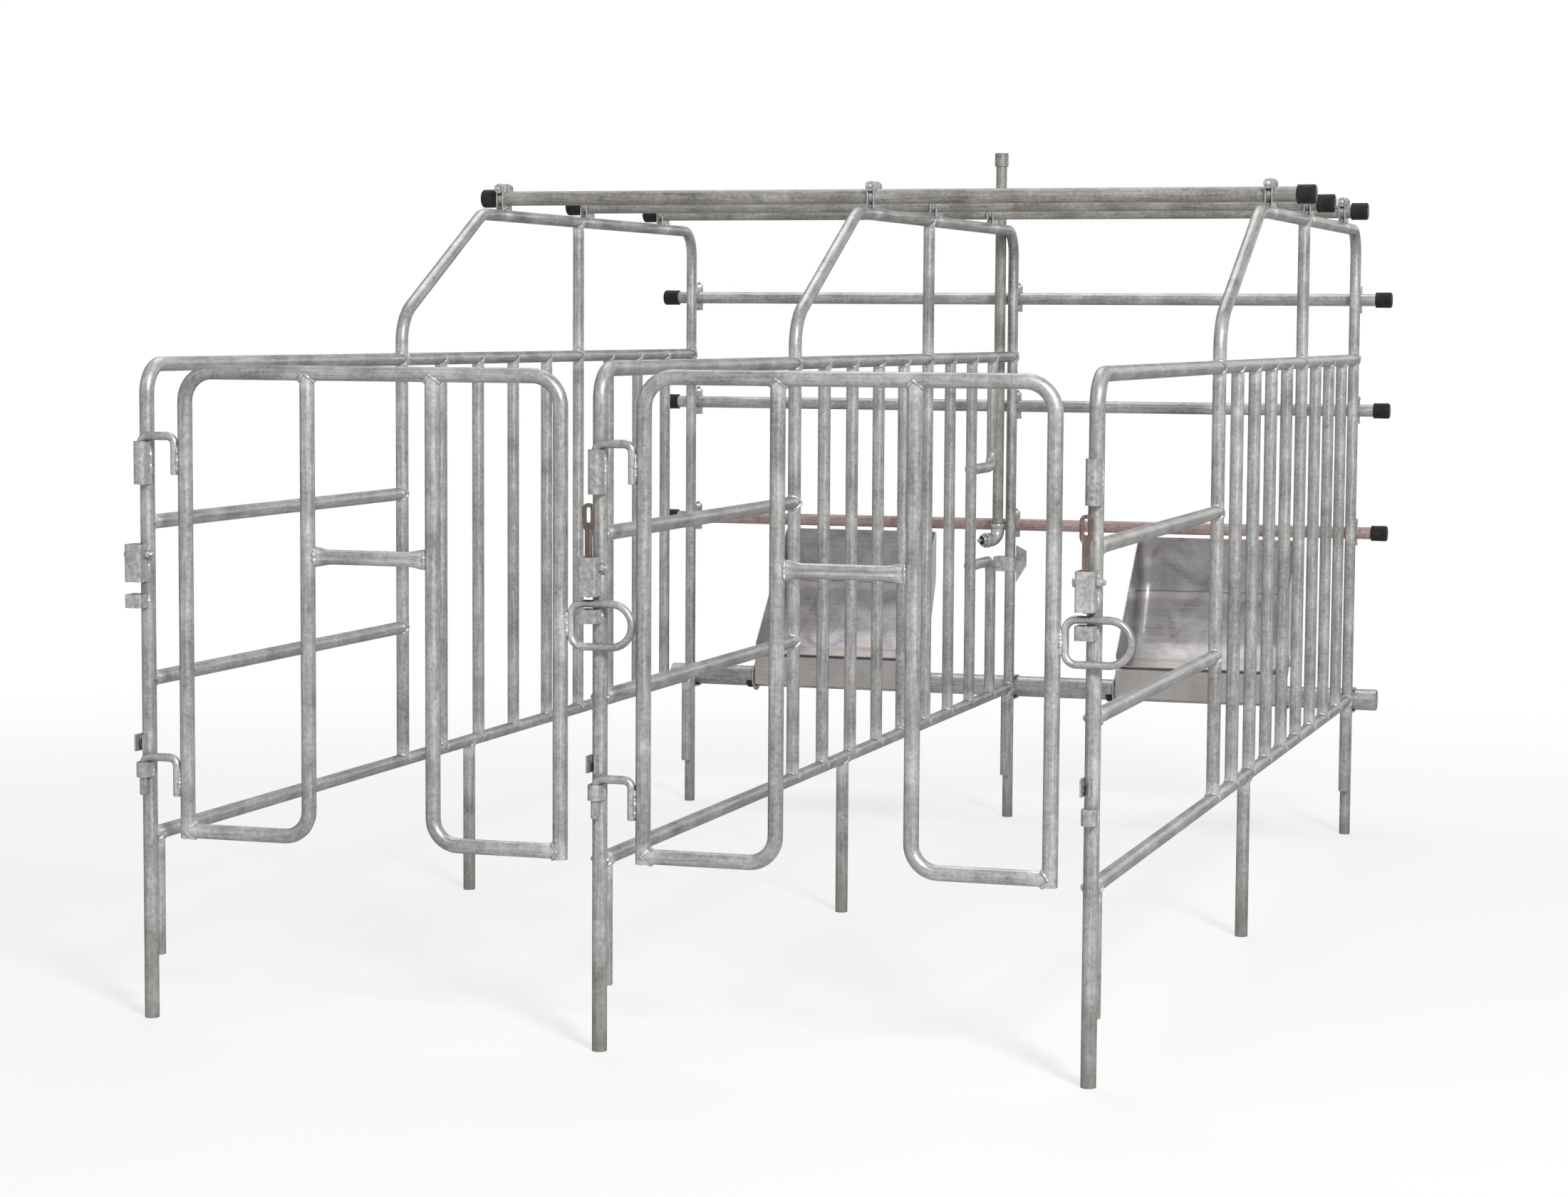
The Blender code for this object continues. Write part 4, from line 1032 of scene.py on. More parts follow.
def hex_bolt(seat: Floats, way: Array, grip: float, flats: float = 0.0065, washers: bool = False) -> Surface:
    """Return a hexagon bolt with its chamfered head, its nut and the threaded stub that stands out of it.

    Args:
        seat: middle of the face under the head.
        way: direction from the head to the nut.
        grip: distance between the head and the nut.
        flats: half the width across the head's and the nut's flats.
        washers: whether a washer lies under the head and the nut.

    Returns:
        One closed surface of rows about the axis.
    """
    head, nut, stub, shank = 0.0055, 0.0065, 0.0050, 0.0038
    chamfer, pitch, thread = 0.0012, 0.0005, 0.0002
    thick = 0.0010 if washers else 0.0
    corner, worn_corner, washer = 1.155 * flats, 0.96 * flats, 1.17 * flats
    rows = [(-head, flats, 0.72 * flats), (-head, flats, worn_corner), (chamfer - head, flats, corner)]
    rows.append((-thick, flats, corner))
    if washers:
        rows += rounds((-thick, washer), (0.0, washer))
    rows += rounds((0.0, shank), (grip, shank))
    if washers:
        rows += rounds((grip, washer), (grip + thick, washer))
    top = grip + nut
    rows += [(grip + thick, flats, corner), (top - chamfer, flats, corner), (top, flats, worn_corner)]
    rows += rounds((top, 0.85 * flats), (top - chamfer, shank))
    for index, place in enumerate(top + np.arange(0.0, stub - 0.0008, pitch)):
        rows += rounds((float(place), shank + (thread if index % 2 else -thread)))
    rows += rounds((top + stub - 0.0006, shank), (top + stub, 0.7 * shank))
    return turned(seat, way, rows)


def ring_plate(outer: Array, inner: Array, axis: str, low: float, high: float) -> Surface:
    """Return a flat plate with one hole.

    Args:
        outer: the plate's outline.
        inner: the hole's, with as many places.
        axis: letter of the axis that the plate is square to.
        low: where the plate starts on that axis.
        high: where it ends.

    Returns:
        A closed ring.
    """
    rims = ((outer, low), (outer, high), (inner, high), (inner, low))
    grid = np.stack([lifted(axis, outline, along) for outline, along in rims])
    return skinned(grid, grid, loop_rows=True)


def seen_from(outline: Array, centre: Floats, count: int) -> tuple[Array, Array]:
    """Resample a convex outline at even angles about a place inside it.

    Args:
        outline: places on the outline.
        centre: the place inside.
        count: number of places wanted.

    Returns:
        The places, and the unit directions towards them.
    """
    loop = np.vstack((outline, outline[:1]))
    runs = np.concatenate(([0.0], np.cumsum(np.linalg.norm(np.diff(loop, axis=0), axis=1))))
    even = np.linspace(0.0, runs[-1], 12 * count, endpoint=False)
    away = np.column_stack([np.interp(even, runs, loop[:, k]) for k in (0, 1)]) - np.asarray(centre)
    angle, reach = np.arctan2(away[:, 1], away[:, 0]), np.linalg.norm(away, axis=1)
    order = np.argsort(angle)
    wanted = np.linspace(-math.pi, math.pi, count, endpoint=False)
    found = np.interp(wanted, angle[order], reach[order], period=2 * math.pi)
    spokes = np.column_stack((np.cos(wanted), np.sin(wanted)))
    return np.asarray(centre) + spokes * found[:, None], spokes


def tee(spot: Floats, branch: Array, rail: Array, size: float = 0.0028) -> tuple[Surface, Weld]:
    """Return the bead where a tube meets the side of another, with its mark."""
    bead = fillet(spot, branch, rail, (LAYOUT.tube, LAYOUT.tube), size)
    return bead, (np.asarray(spot) + branch * LAYOUT.tube, 1.15 * LAYOUT.tube)


def run(start: Floats, stop: Floats, size: float) -> tuple[Surface, list[Weld]]:
    """Return a straight bead with four marks along it.

    Args:
        start: where the bead starts.
        stop: where it ends.
        size: its radius.

    Returns:
        The bead and its marks.
    """
    first, last = np.asarray(start, float), np.asarray(stop, float)
    marks = [(first + (last - first) * share, 2 * size) for share in (0.0, 0.33, 0.67, 1.0)]
    return seam(first, last, size), marks


def beaded(part: Surface, lines: Sequence[tuple[Row, Row]], size: float) -> tuple[Surface, list[Weld]]:
    """Return a part with a straight bead along each line, and the beads' marks."""
    beads = [run(start, stop, size) for start, stop in lines]
    return joined([part] + [bead for bead, _ in beads]), [mark for _, marks in beads for mark in marks]


@dataclass(frozen=True)
class Clamp:
    """A pressed channel clamp that sits on a tube and closes round a bar along X; its bolt runs along Y."""

    bar: float
    seat: float = 0.0075
    width: float = 0.0134
    depth: float = 0.043
    ear: float = 0.0085
    chamfer: float = 0.0060
    slot: float = 0.0060
    flange: float = 0.0022
    web: float = 0.0025
    rise: float = 0.0175
    foot: float = 0.011

    @property
    def drop(self) -> float:
        """Return the distance from the bar's axis down to the tube's."""
        return self.bar + self.seat + LAYOUT.tube

    def outline(self) -> Array:
        """Return the edge of a flange: two ears, the slot between them and the seat of the bar.

        Returns:
            Places in the plane square to the bar, whose middle is the bar's.
        """
        top, half, slot = self.rise + self.ear, self.depth / 2, self.slot / 2
        bore = self.bar + LAYOUT.gap
        start = 90 + math.degrees(math.asin(slot / bore))
        foot = LAYOUT.tube / 2 - self.drop
        corners = [(slot, top), (half, top), (half, foot), (-half, foot), (-half, top), (-slot, top)]
        edge = Path.through(corners, (self.chamfer, 0.003, 0.003, self.chamfer)).flat
        return np.vstack((edge, arc_points((0, 0), bore, start, 540 - start, 40)))

    def channel(self) -> list[Surface]:
        """Return the pressed channel round the bar.

        Returns:
            The two flanges, the web between them and the foot.
        """
        half, inside = self.width / 2, self.width / 2 - self.flange
        edge = self.outline()
        middle = self.bar + LAYOUT.gap + self.web / 2
        side = (self.slot + self.web) / 2
        start = 90 + math.degrees(math.asin(side / middle))
        top = self.rise + self.ear
        line = np.vstack(((-side, top), arc_points((0, 0), middle, start, 540 - start, 40), (side, top)))
        low, high, reach = LAYOUT.tube / 2 - self.drop, -self.bar - 0.001, self.foot
        foot = np.array(((-reach, low), (reach, low), (reach, high), (-reach, high)))
        parts = [plate(edge, "X", -half, -inside), plate(edge, "X", inside, half)]
        return parts + [strip(line, self.web, "X", -inside, inside), plate(foot, "X", -inside, inside)]

    def beads(self) -> list[Surface]:
        """Return the welds along the outside of the flanges, where they meet the tube."""
        reach, low = 0.4 * self.depth, 0.85 * LAYOUT.tube - self.drop
        return [seam((x, -reach, low), (x, reach, low), 0.0021) for x in (-self.width / 2, self.width / 2)]

    def bolt(self) -> Surface:
        """Return the bolt through the ears, with its nut towards the gates."""
        grip = self.depth - 2 * LAYOUT.gap
        return hex_bolt((0, grip / 2, self.rise), -Y_AXIS, grip, flats=0.0078, washers=True)


@dataclass(frozen=True)
class Panel:
    """One welded side panel: hoop, infill, raised arch and front post."""

    side: str
    x: float
    hoop_bend: float = 0.0425
    window: float = 0.900
    bars: int = 8
    knee: float = 1.025
    arch_bends: tuple[float, ...] = (0.070, 0.070, 0.050)
    support: int = 5
    foot_tube: float = 0.090
    middle_leg: float = 1.190
    hatch: Pair = (0.545, 0.735)     # heights of the opening for the drinker
    hatch_bend: float = 0.030
    hatch_tube: float = 0.0104
    lug: Pair = (0.0245, 0.014)      # height and reach of the lugs over the lower socket
    lug_gap: float = 0.0015
    top_bar_r: float = 0.0130
    front_bar_r: float = 0.0120
    saddle: Pair = (0.0030, 0.024)

    def spots(self, places: Sequence[Pair]) -> list[tuple[float, float, float]]:
        """Return places in space from (y, z) places in the panel's plane."""
        return [(self.x, y, z) for y, z in places]

    def tube(
        self,
        places: Sequence[Pair],
        radii: Floats = (),
        ends: tuple[End, End] = (End.BURIED, End.BURIED),
        radius: float = LAYOUT.tube,
    ) -> Surface:
        """Return a tube in the panel's plane."""
        return sweep(Path.through(self.spots(places), radii), X_AXIS, radius, ends)

    def bar_places(self) -> list[float]:
        """Return the Y places of the upright bars."""
        pitch = (LAYOUT.length - self.window) / (self.bars + 1)
        return [self.window + pitch * index for index in range(self.bars + 1)]

    def build_hoop(self) -> None:
        """Build the rear post that bends over into the top rail, and the two lugs above the lower socket."""
        tube, length, rail = LAYOUT.tube, LAYOUT.length, LAYOUT.rail
        path = ((0, 0), (0, rail), (length + tube, rail))
        parts = [self.tube(path, (self.hoop_bend,), (End.OPEN, End.ROUNDED))]
        low = LAYOUT.lower_hook + LAYOUT.hook_r + self.lug_gap
        near, wall, welds = 0.001 - tube, LAYOUT.socket_wall, []
        for left, start in ((self.x + near - wall, 0.0), (self.x, near)):
            right, front = left + wall, near - self.lug[1]
            corners = [(left, start), (right, start), (right, front), (left, front)]
            parts.append(plate(np.array(corners), "Z", low, low + self.lug[0]))
            x, y = left + wall / 2, near + 0.0006
            bead, marks = run((x, y, low), (x, y, low + self.lug[0]), 0.0022)
            parts.append(bead)
            welds += marks
        node = [f"panel_{self.side}_rear_hoop"]
        publish(f"rear_hoop_{self.side}", joined(parts), Slot.TUBE, node, welds=welds)

    def build_infill(self) -> None:
        """Build the bottom rail, the mid rails, the upright bars and the feet, with their welds."""
        low, rail, length, window = LAYOUT.bottom_rail, LAYOUT.rail, LAYOUT.length, self.window
        up, down, along = Z_AXIS, -Z_AXIS, Y_AXIS
        parts = [self.tube(((0, low), (length, low)))]
        joints = [tee((self.x, 0, low), along, up), tee((self.x, length, low), -along, up)]
        places = self.bar_places()
        plain = places[:-1] if self.side == "middle" else places
        for y in plain:
            parts.append(self.tube(((y, low), (y, rail))))
            joints += [tee((self.x, y, low), up, along), tee((self.x, y, rail), down, along)]
        if self.side == "middle":
            last, before = places[-1], places[-2]
            for height, start in zip(self.hatch, (low, rail)):
                path = ((last, start), (last, height), (before, height))
                parts.append(self.tube(path, (self.hatch_bend,), radius=self.hatch_tube))
                joints.append(tee((self.x, before, height), along, up))
                joints.append(tee((self.x, last, start), up if start == low else down, along))
        step = (rail - low) / 3
        for height in (low + step, low + 2 * step):
            parts.append(self.tube(((0, height), (window, height))))
            joints += [tee((self.x, 0, height), along, up), tee((self.x, window, height), -along, up)]
        beside = 2 * LAYOUT.tube + LAYOUT.gap
        for y, foot in ((beside, self.foot_tube), (length - beside, self.foot_tube), (self.middle_leg, 0.0)):
            parts.append(self.tube(((y, foot), (y, low)), (), (End.OPEN, End.BURIED)))
            joints.append(tee((self.x, y, low), down, along))
        parts += self.foot_beads(beside)
        beads, welds = zip(*joints)
        parts += beads
        publish(f"infill_{self.side}", joined(parts), Slot.TUBE, [f"panel_{self.side}_infill"], welds=welds)

    def foot_beads(self, beside: float) -> list[Surface]:
        """Return the short beads that join the foot tubes to the posts beside them.

        Args:
            beside: Y distance between a post and the foot tube beside it.

        Returns:
            The beads.
        """
        beads, length, out = [], 0.028, 0.0035
        for y in (beside / 2, LAYOUT.length - beside / 2):
            for x in (self.x - out, self.x + out):
                for low in (self.foot_tube + 0.002, self.foot_tube + 0.075):
                    beads.append(seam((x, y, low), (x, y, low + length), 0.0030))
        return beads

    def build_arch(self) -> None:
        """Build the arch over the front of the panel, its support, its clamps and their bolts."""
        rail, top, length, apex = LAYOUT.rail, LAYOUT.arch, LAYOUT.length, LAYOUT.apex
        path = ((self.window, rail), (self.window, self.knee), (apex, top), (length, top), (length, rail))
        parts = [self.tube(path, self.arch_bends)]
        support = self.bar_places()[self.support]
        parts.append(self.tube(((support, rail), (support, top))))
        joints = [tee((self.x, y, rail), Z_AXIS, Y_AXIS) for y in (self.window, support, length)]
        joints.append(tee((self.x, support, top), -Z_AXIS, Y_AXIS))
        clamp = Clamp(self.top_bar_r)
        height = top + clamp.drop
        seats = [(UPRIGHT, (self.x, y, height), clamp) for y in Crossbars.top_places()]
        front = Clamp(self.front_bar_r)
        seats.append((FORWARD, (self.x, length + front.drop, LAYOUT.front_bars[0]), front))
        self.finish_piece("top_arch", parts, joints, seats)

    def build_post(self) -> None:
        """Build the front post with two clamps and the saddle of the feeder tube."""
        length, rail = LAYOUT.length, LAYOUT.rail
        parts = [self.tube(((length, 0), (length, rail)), (), (End.OPEN, End.BURIED))]
        joints = [tee((self.x, length, rail), -Z_AXIS, Y_AXIS)]
        front = Clamp(self.front_bar_r)
        place = length + front.drop
        seats = [(FORWARD, (self.x, place, height), front) for height in LAYOUT.front_bars[1:]]
        wall, width = self.saddle
        middle = LAYOUT.feeder_r + LAYOUT.gap + wall / 2
        y, z, near = LAYOUT.feeder_y, LAYOUT.feeder_z, length + LAYOUT.tube / 2
        bend = arc_points((y, z), middle, 90, -90, 32)
        line = np.vstack(((near, z + middle), bend, (near, z - middle)))
        parts.append(strip(line, wall, "X", self.x - width / 2, self.x + width / 2))
        for height in (z + middle, z - middle):
            edge = length + 0.0085
            bead, marks = run((self.x - width / 2, edge, height), (self.x + width / 2, edge, height), 0.0026)
            end_bead = seam((self.x, edge, height), (self.x, edge + 0.001, height), 0.001)
            joints += [(bead, marks[1]), (end_bead, marks[2])]
        self.finish_piece("front_post", parts, joints, seats)

    def finish_piece(
        self,
        title: str,
        parts: list[Surface],
        joints: list[tuple[Surface, Weld]],
        seats: list[tuple[Array, Row, Clamp]],
    ) -> None:
        """Publish a tube with its beads, and its clamps and their bolts as pieces of their own.

        Args:
            title: the tube's title within the panel.
            parts: its surfaces.
            joints: beads with their marks.
            seats: turn, place and kind of each clamp.
        """
        node = [f"panel_{self.side}_{title}"]
        welds = [mark for _, mark in joints]
        welds += [(place - turn @ (Z_AXIS * kind.drop), 0.012) for turn, place, kind in seats]
        beads = [bead for bead, _ in joints]
        beads += [bead.placed(turn, place) for turn, place, kind in seats for bead in kind.beads()]
        publish(f"{title}_{self.side}", joined(parts + beads), Slot.TUBE, node, welds=welds)
        channels = [part.placed(turn, place) for turn, place, kind in seats for part in kind.channel()]
        publish(f"{title}_clamps_{self.side}", joined(channels), Slot.PLATE, node, edge=THIN_EDGE)
        bolts = [kind.bolt().placed(turn, place) for turn, place, kind in seats]
        publish(f"{title}_bolts_{self.side}", joined(bolts), Slot.BOLT, node)

    def build(self) -> None:
        """Build the whole panel."""
        self.build_hoop()
        self.build_infill()
        self.build_arch()
        self.build_post()


@dataclass(frozen=True)
class PostFittings:
    """Hinge sockets and latch of one rear post."""

    side: str
    x: float
    heights: Pair = (0.062, 0.022)   # of the upper and the lower socket
    wall: float = 0.0030
    right: float = 0.0050           # reach of the housing to the right, the left and the rear
    left: float = 0.0190
    front: float = 0.0340
    turn_in: float = 0.0040         # how far behind the post's middle the left side turns in
    height: float = 0.0545
    keeper_drop: float = 0.0725     # from the housing's top to the keeper's
    keeper: float = 0.0195
    bolt_drop: float = 0.015
    bolt_in: float = 0.0175

    def build_sockets(self) -> None:
        """Build the two rolled sockets, each a strip in the shape of a U, welded to the post."""
        inside = LAYOUT.hook_bend - LAYOUT.hook_r
        drop = LAYOUT.hook_bend - math.sqrt(inside**2 - (LAYOUT.hook_bend - LAYOUT.socket) ** 2)
        middle = LAYOUT.socket + LAYOUT.socket_wall / 2
        seat = -LAYOUT.behind(LAYOUT.socket)
        bend = arc_points((self.x, LAYOUT.gate), middle, 180, 360, 28)
        line = np.vstack(((self.x - middle, seat), bend, (self.x + middle, seat)))
        y = seat - 0.0006
        hooks = (("upper", LAYOUT.upper_hook), ("lower", LAYOUT.lower_hook))
        for (level, hook), height in zip(hooks, self.heights):
            top = hook - drop - LAYOUT.gap
            low, high = top - height + 0.001, top - 0.001
            socket = strip(line, LAYOUT.socket_wall, "Z", top - height, top)
            sides = [self.x + hand * (middle + 0.0006) for hand in (-1, 1)]
            socket, welds = beaded(socket, [((x, y, low), (x, y, high)) for x in sides], 0.0022)
            node = [f"{level}_hinge_socket_{self.side}"]
            publish(f"{level}_socket_{self.side}", socket, Slot.PLATE, node, welds=welds, edge=THIN_EDGE)

    def plan(self) -> Array:
        """Return the middle line of the latch plate, seen from above.

        Returns:
            Places from the post's right side round the front to its left.
        """
        half = self.wall / 2
        corners = (
            (self.x + self.right, -LAYOUT.behind(self.right - half)),
            (self.x + self.right, -self.front),
            (self.x - self.left, -self.front),
            (self.x - self.left, -self.turn_in),
            (self.x - LAYOUT.behind(self.turn_in - half), -self.turn_in),
        )
        return Path.through(corners, (self.wall,) * 3).flat

    def build_latch(self) -> None:
        """Build the bent-plate housing, the keeper below it and the bolt across."""
        line = self.plan()
        edges = (line[0] + (0.0012, 0.0002), line[-1] - (0.0, 0.0014))
        keeper_top = LAYOUT.latch - self.keeper_drop
        levels = (("housing", LAYOUT.latch, self.height), ("keeper", keeper_top, self.keeper))
        for title, top, height in levels:
            low, high = top - height + 0.002, top - 0.002
            bent = strip(line, self.wall, "Z", top - height, top)
            bent, welds = beaded(bent, [((x, y, low), (x, y, high)) for x, y in edges], 0.0026)
            node = [f"latch_{title}_{self.side}"]
            publish(f"{title}_plate_{self.side}", bent, Slot.PLATE, node, welds=welds, edge=0.0006)
        grip = self.right + self.left + self.wall + 2 * LAYOUT.gap
        seat = (self.x - self.left - self.wall / 2 - LAYOUT.gap, -self.bolt_in, LAYOUT.latch - self.bolt_drop)
        bolt = hex_bolt(seat, X_AXIS, grip)
        publish(f"housing_bolt_{self.side}", bolt, Slot.BOLT, [f"latch_bolt_{self.side}"])

    def build(self) -> None:
        """Build the sockets and the latch."""
        self.build_sockets()
        self.build_latch()


@dataclass(frozen=True)
class DropPin:
    """Flat latch pin with an oval eye, drawn up in its housing."""

    side: str
    x: float
    centre: float = -0.0065
    thickness: float = 0.0060
    stem: Pair = (0.010, 0.092)
    eye: Pair = (0.0175, 0.0385)
    hole: Pair = (0.0070, 0.0220)
    travel: float = 0.036
    front: float = -0.0319

    @staticmethod
    def oval(centre: float, top: float, size: Pair) -> Array:
        """Return an upright oval with round ends.

        Args:
            centre: X of its middle.
            top: its highest Z.
            size: its width and height.

        Returns:
            Places in (x, z), as many for each oval.
        """
        half = size[0] / 2
        low, high = top - size[1] + half, top - half
        upper = arc_points((centre, high), half, 0, 180, 23)
        return np.vstack((upper, arc_points((centre, low), half, 180, 360, 23)))

    def build(self) -> None:
        """Build the eye as a ring between two ovals, and the stem with a pointed tip."""
        centre = self.x + self.centre
        shoulder = LAYOUT.latch + LAYOUT.gap + self.travel
        top = shoulder + self.eye[1]
        hole_top = top - self.eye[0] / 2 + self.hole[0] / 2
        low, high = self.front, self.front + self.thickness
        outer, inner = self.oval(centre, top, self.eye), self.oval(centre, hole_top, self.hole)
        eye = ring_plate(outer, inner, "Y", low, high)
        half, tip = self.stem[0] / 2, shoulder - self.stem[1]
        corners = [(centre - half, shoulder + 0.006), (centre - half, tip + half), (centre - half / 2, tip)]
        corners += [(centre + half / 2, tip), (centre + half, tip + half), (centre + half, shoulder + 0.006)]
        stem = plate(np.array(corners), "Y", low + 0.0001, high - 0.0001)
        pin, node = joined([eye, stem]), [f"latch_pin_{self.side}"]
        publish(f"drop_pin_{self.side}", pin, Slot.PIN, node, f"pin_{self.side}", edge=0.0010)


@dataclass(frozen=True)
class Gate:
    """One rear gate, hung on the post at its left and latched to the post at its right."""

    side: str
    post: float
    hinge_stile: float = 0.071
    latch_stile: float = 0.052
    top: float = 0.945
    bottom: float = 0.271
    corner: float = 0.042
    foot_bar: float = 0.282
    foot_bend: float = 0.038
    crossbar: float = 0.685
    crush: tuple[float, float, float] = (0.034, 0.62, 0.42)     # length of its flat ends, and their shape
    hook_legs: Pair = (0.0555, 0.056)
    loop_r: float = 0.0054
    loop_drop: float = 0.065
    loop_height: float = 0.060
    loop_reach: float = 0.0535
    loop_corner: float = 0.0160
    bead_out: float = 0.0036        # how far a rod's beads lie off its middle

    @property
    def near(self) -> float:
        """Return the X place of the hinge stile."""
        return self.post + self.hinge_stile

    @property
    def far(self) -> float:
        """Return the X place of the latch stile."""
        return self.post + LAYOUT.stall - self.latch_stile

    def spots(self, places: Sequence[Pair]) -> list[Row]:
        """Return places in space from (x, z) places in the gate's plane."""
        return [(x, LAYOUT.gate, z) for x, z in places]

    def piece(self, title: str, surface: Surface, node: str, welds: Sequence[Weld]) -> None:
        """Publish one piece of the gate."""
        gate = f"gate_{self.side}"
        publish(f"{title}_{self.side}", surface, Slot.TUBE, [f"{gate}_{node}"], gate, welds)

    def build_frame(self) -> None:
        """Build the outer frame: one tube bent over two corners, open at its lower ends."""
        near, far = self.near, self.far
        path = self.spots(((near, self.bottom), (near, self.top), (far, self.top), (far, self.bottom)))
        tube = sweep(Path.through(path, (self.corner,) * 2), Y_AXIS, LAYOUT.tube, (End.OPEN, End.OPEN))
        hooks = [LAYOUT.upper_hook - 0.03, LAYOUT.lower_hook - 0.03]
        loop = LAYOUT.latch - self.loop_drop - self.loop_height / 2
        welds: list[Weld] = [((near - LAYOUT.tube, LAYOUT.gate, z), 0.010) for z in hooks]
        welds += [((x, LAYOUT.gate, self.foot_bar), 0.014) for x in (near, far)]
        welds.append(((far + LAYOUT.tube, LAYOUT.gate, loop), 0.012))
        self.piece("gate_frame", tube, "frame", welds)

    def crushed_bar(self, left: float, right: float) -> Surface:
        """Return the crossbar, whose ends are hammered flat to be welded.

        Near each end the circle becomes an oval: its half height grows and its half depth shrinks by a
        smooth step of the distance from the end. A shallow crease, a bell curve round the front, runs
        along it.

        Args:
            left: X of its left end.
            right: X of its right end.

        Returns:
            The closed surface.
        """
        share = np.linspace(0.0, 1.0, 60)
        reach = np.minimum(share, 1 - share) * (right - left)
        hammered, thinner, taller = self.crush
        crush = 1 - np.clip(reach / hammered, 0.0, 1.0)
        crush = crush * crush * (3 - 2 * crush)
        angle = around(40)
        front = np.angle(np.exp(1j * (angle + math.pi / 2)))
        crease = 1 - 0.30 * np.exp(-((front / 0.30) ** 2)) * np.clip(reach / 0.02, 0.35, 1.0)[:, None]
        tube = LAYOUT.tube * crease
        depth = tube * np.sin(angle) * (1 - thinner * crush)[:, None]
        height = tube * np.cos(angle) * (1 + taller * crush)[:, None]
        along = np.repeat((left + (right - left) * share)[:, None], len(angle), axis=1)
        grid = np.stack((along, LAYOUT.gate + depth, self.crossbar + height), axis=-1)
        return skinned(grid, np.stack((depth, height, along), axis=-1))

    def build_inner(self) -> None:
        """Build the two legs that turn into foot bars, and the crossbar between them."""
        step = (self.far - self.near) / 3
        parts, joints = [], []
        for x, stile, hand in ((self.near + step, self.near, 1.0), (self.far - step, self.far, -1.0)):
            path = self.spots(((x, self.top), (x, self.foot_bar), (stile, self.foot_bar)))
            parts.append(sweep(Path.through(path, (self.foot_bend,)), Y_AXIS, LAYOUT.tube))
            joints.append(tee((x, LAYOUT.gate, self.top), -Z_AXIS, X_AXIS))
            joints.append(tee((stile, LAYOUT.gate, self.foot_bar), hand * X_AXIS, Z_AXIS))
        left, right = self.near + step + 0.5 * LAYOUT.tube, self.far - step - 0.5 * LAYOUT.tube
        parts.append(self.crushed_bar(left, right))
        low, high = self.crossbar - 0.0125, self.crossbar + 0.0125
        for x, hand in ((left, 1.0), (right, -1.0)):
            edge = x + hand * 0.58 * LAYOUT.tube
            for face in (-1, 1):
                y = LAYOUT.gate + face * 0.0045
                start, stop = (edge, y, low), (edge, y, high)
                bead, marks = run(start, stop, 0.0030)
                joints += [(bead, marks[1]), (seam(start, stop, 0.0012), marks[2])]
        beads, welds = zip(*joints)
        self.piece("gate_legs", joined([*parts, *beads]), "inner_tubes", welds)

    def rod_sides(self) -> list[float]:
        """Return the Y places of the beads on both sides of a rod."""
        return [LAYOUT.gate + face * self.bead_out for face in (-1, 1)]

    def build_hooks(self) -> None:
        """Build the two hinge hooks, bent rods welded beside the stile."""
        radius, bend, ends = LAYOUT.hook_r, LAYOUT.hook_bend, (End.ROUNDED, End.ROUNDED)
        weld = self.near - LAYOUT.tube - radius - LAYOUT.gap
        x = weld + radius
        levels = (("upper", LAYOUT.upper_hook), ("lower", LAYOUT.lower_hook))
        for (level, top), leg in zip(levels, self.hook_legs):
            low = top - leg
            path = self.spots(((weld, low), (weld, top), (self.post, top), (self.post, low)))
            rod = sweep(Path.through(path, (bend,) * 2), Y_AXIS, radius, ends, ROD_FACETS, 0.0015)
            lines = [((x, y, low + 0.002), (x, y, top - bend)) for y in self.rod_sides()]
            rod, welds = beaded(rod, lines, 0.0031)
            self.piece(f"{level}_hook", rod, f"{level}_hook", welds)

    def build_loop(self) -> None:
        """Build the latch loop, a rod bent into a D, with welds down its straight side."""
        near = self.far + LAYOUT.tube + self.loop_r + LAYOUT.gap
        far = self.post + LAYOUT.stall + self.loop_reach
        top = LAYOUT.latch - self.loop_drop
        low, half = top - self.loop_height, self.loop_height / 2
        path = self.spots(((near, top), (far, top), (far, low), (near, low)))
        radii = (self.loop_corner, half - 0.0002, half - 0.0002, self.loop_corner)
        line = Path.through(path, radii, closed=True)
        rod = sweep(line, Y_AXIS, self.loop_r, facets=ROD_FACETS, closed=True)
        x = near - self.loop_r
        lines = [((x, y, low + 0.012), (x, y, top - 0.012)) for y in self.rod_sides()]
        rod, welds = beaded(rod, lines, 0.0030)
        self.piece("latch_loop", rod, "latch_loop", welds)

    def build(self) -> None:
        """Build the whole gate."""
        self.build_frame()
        self.build_inner()
        self.build_hooks()
        self.build_loop()


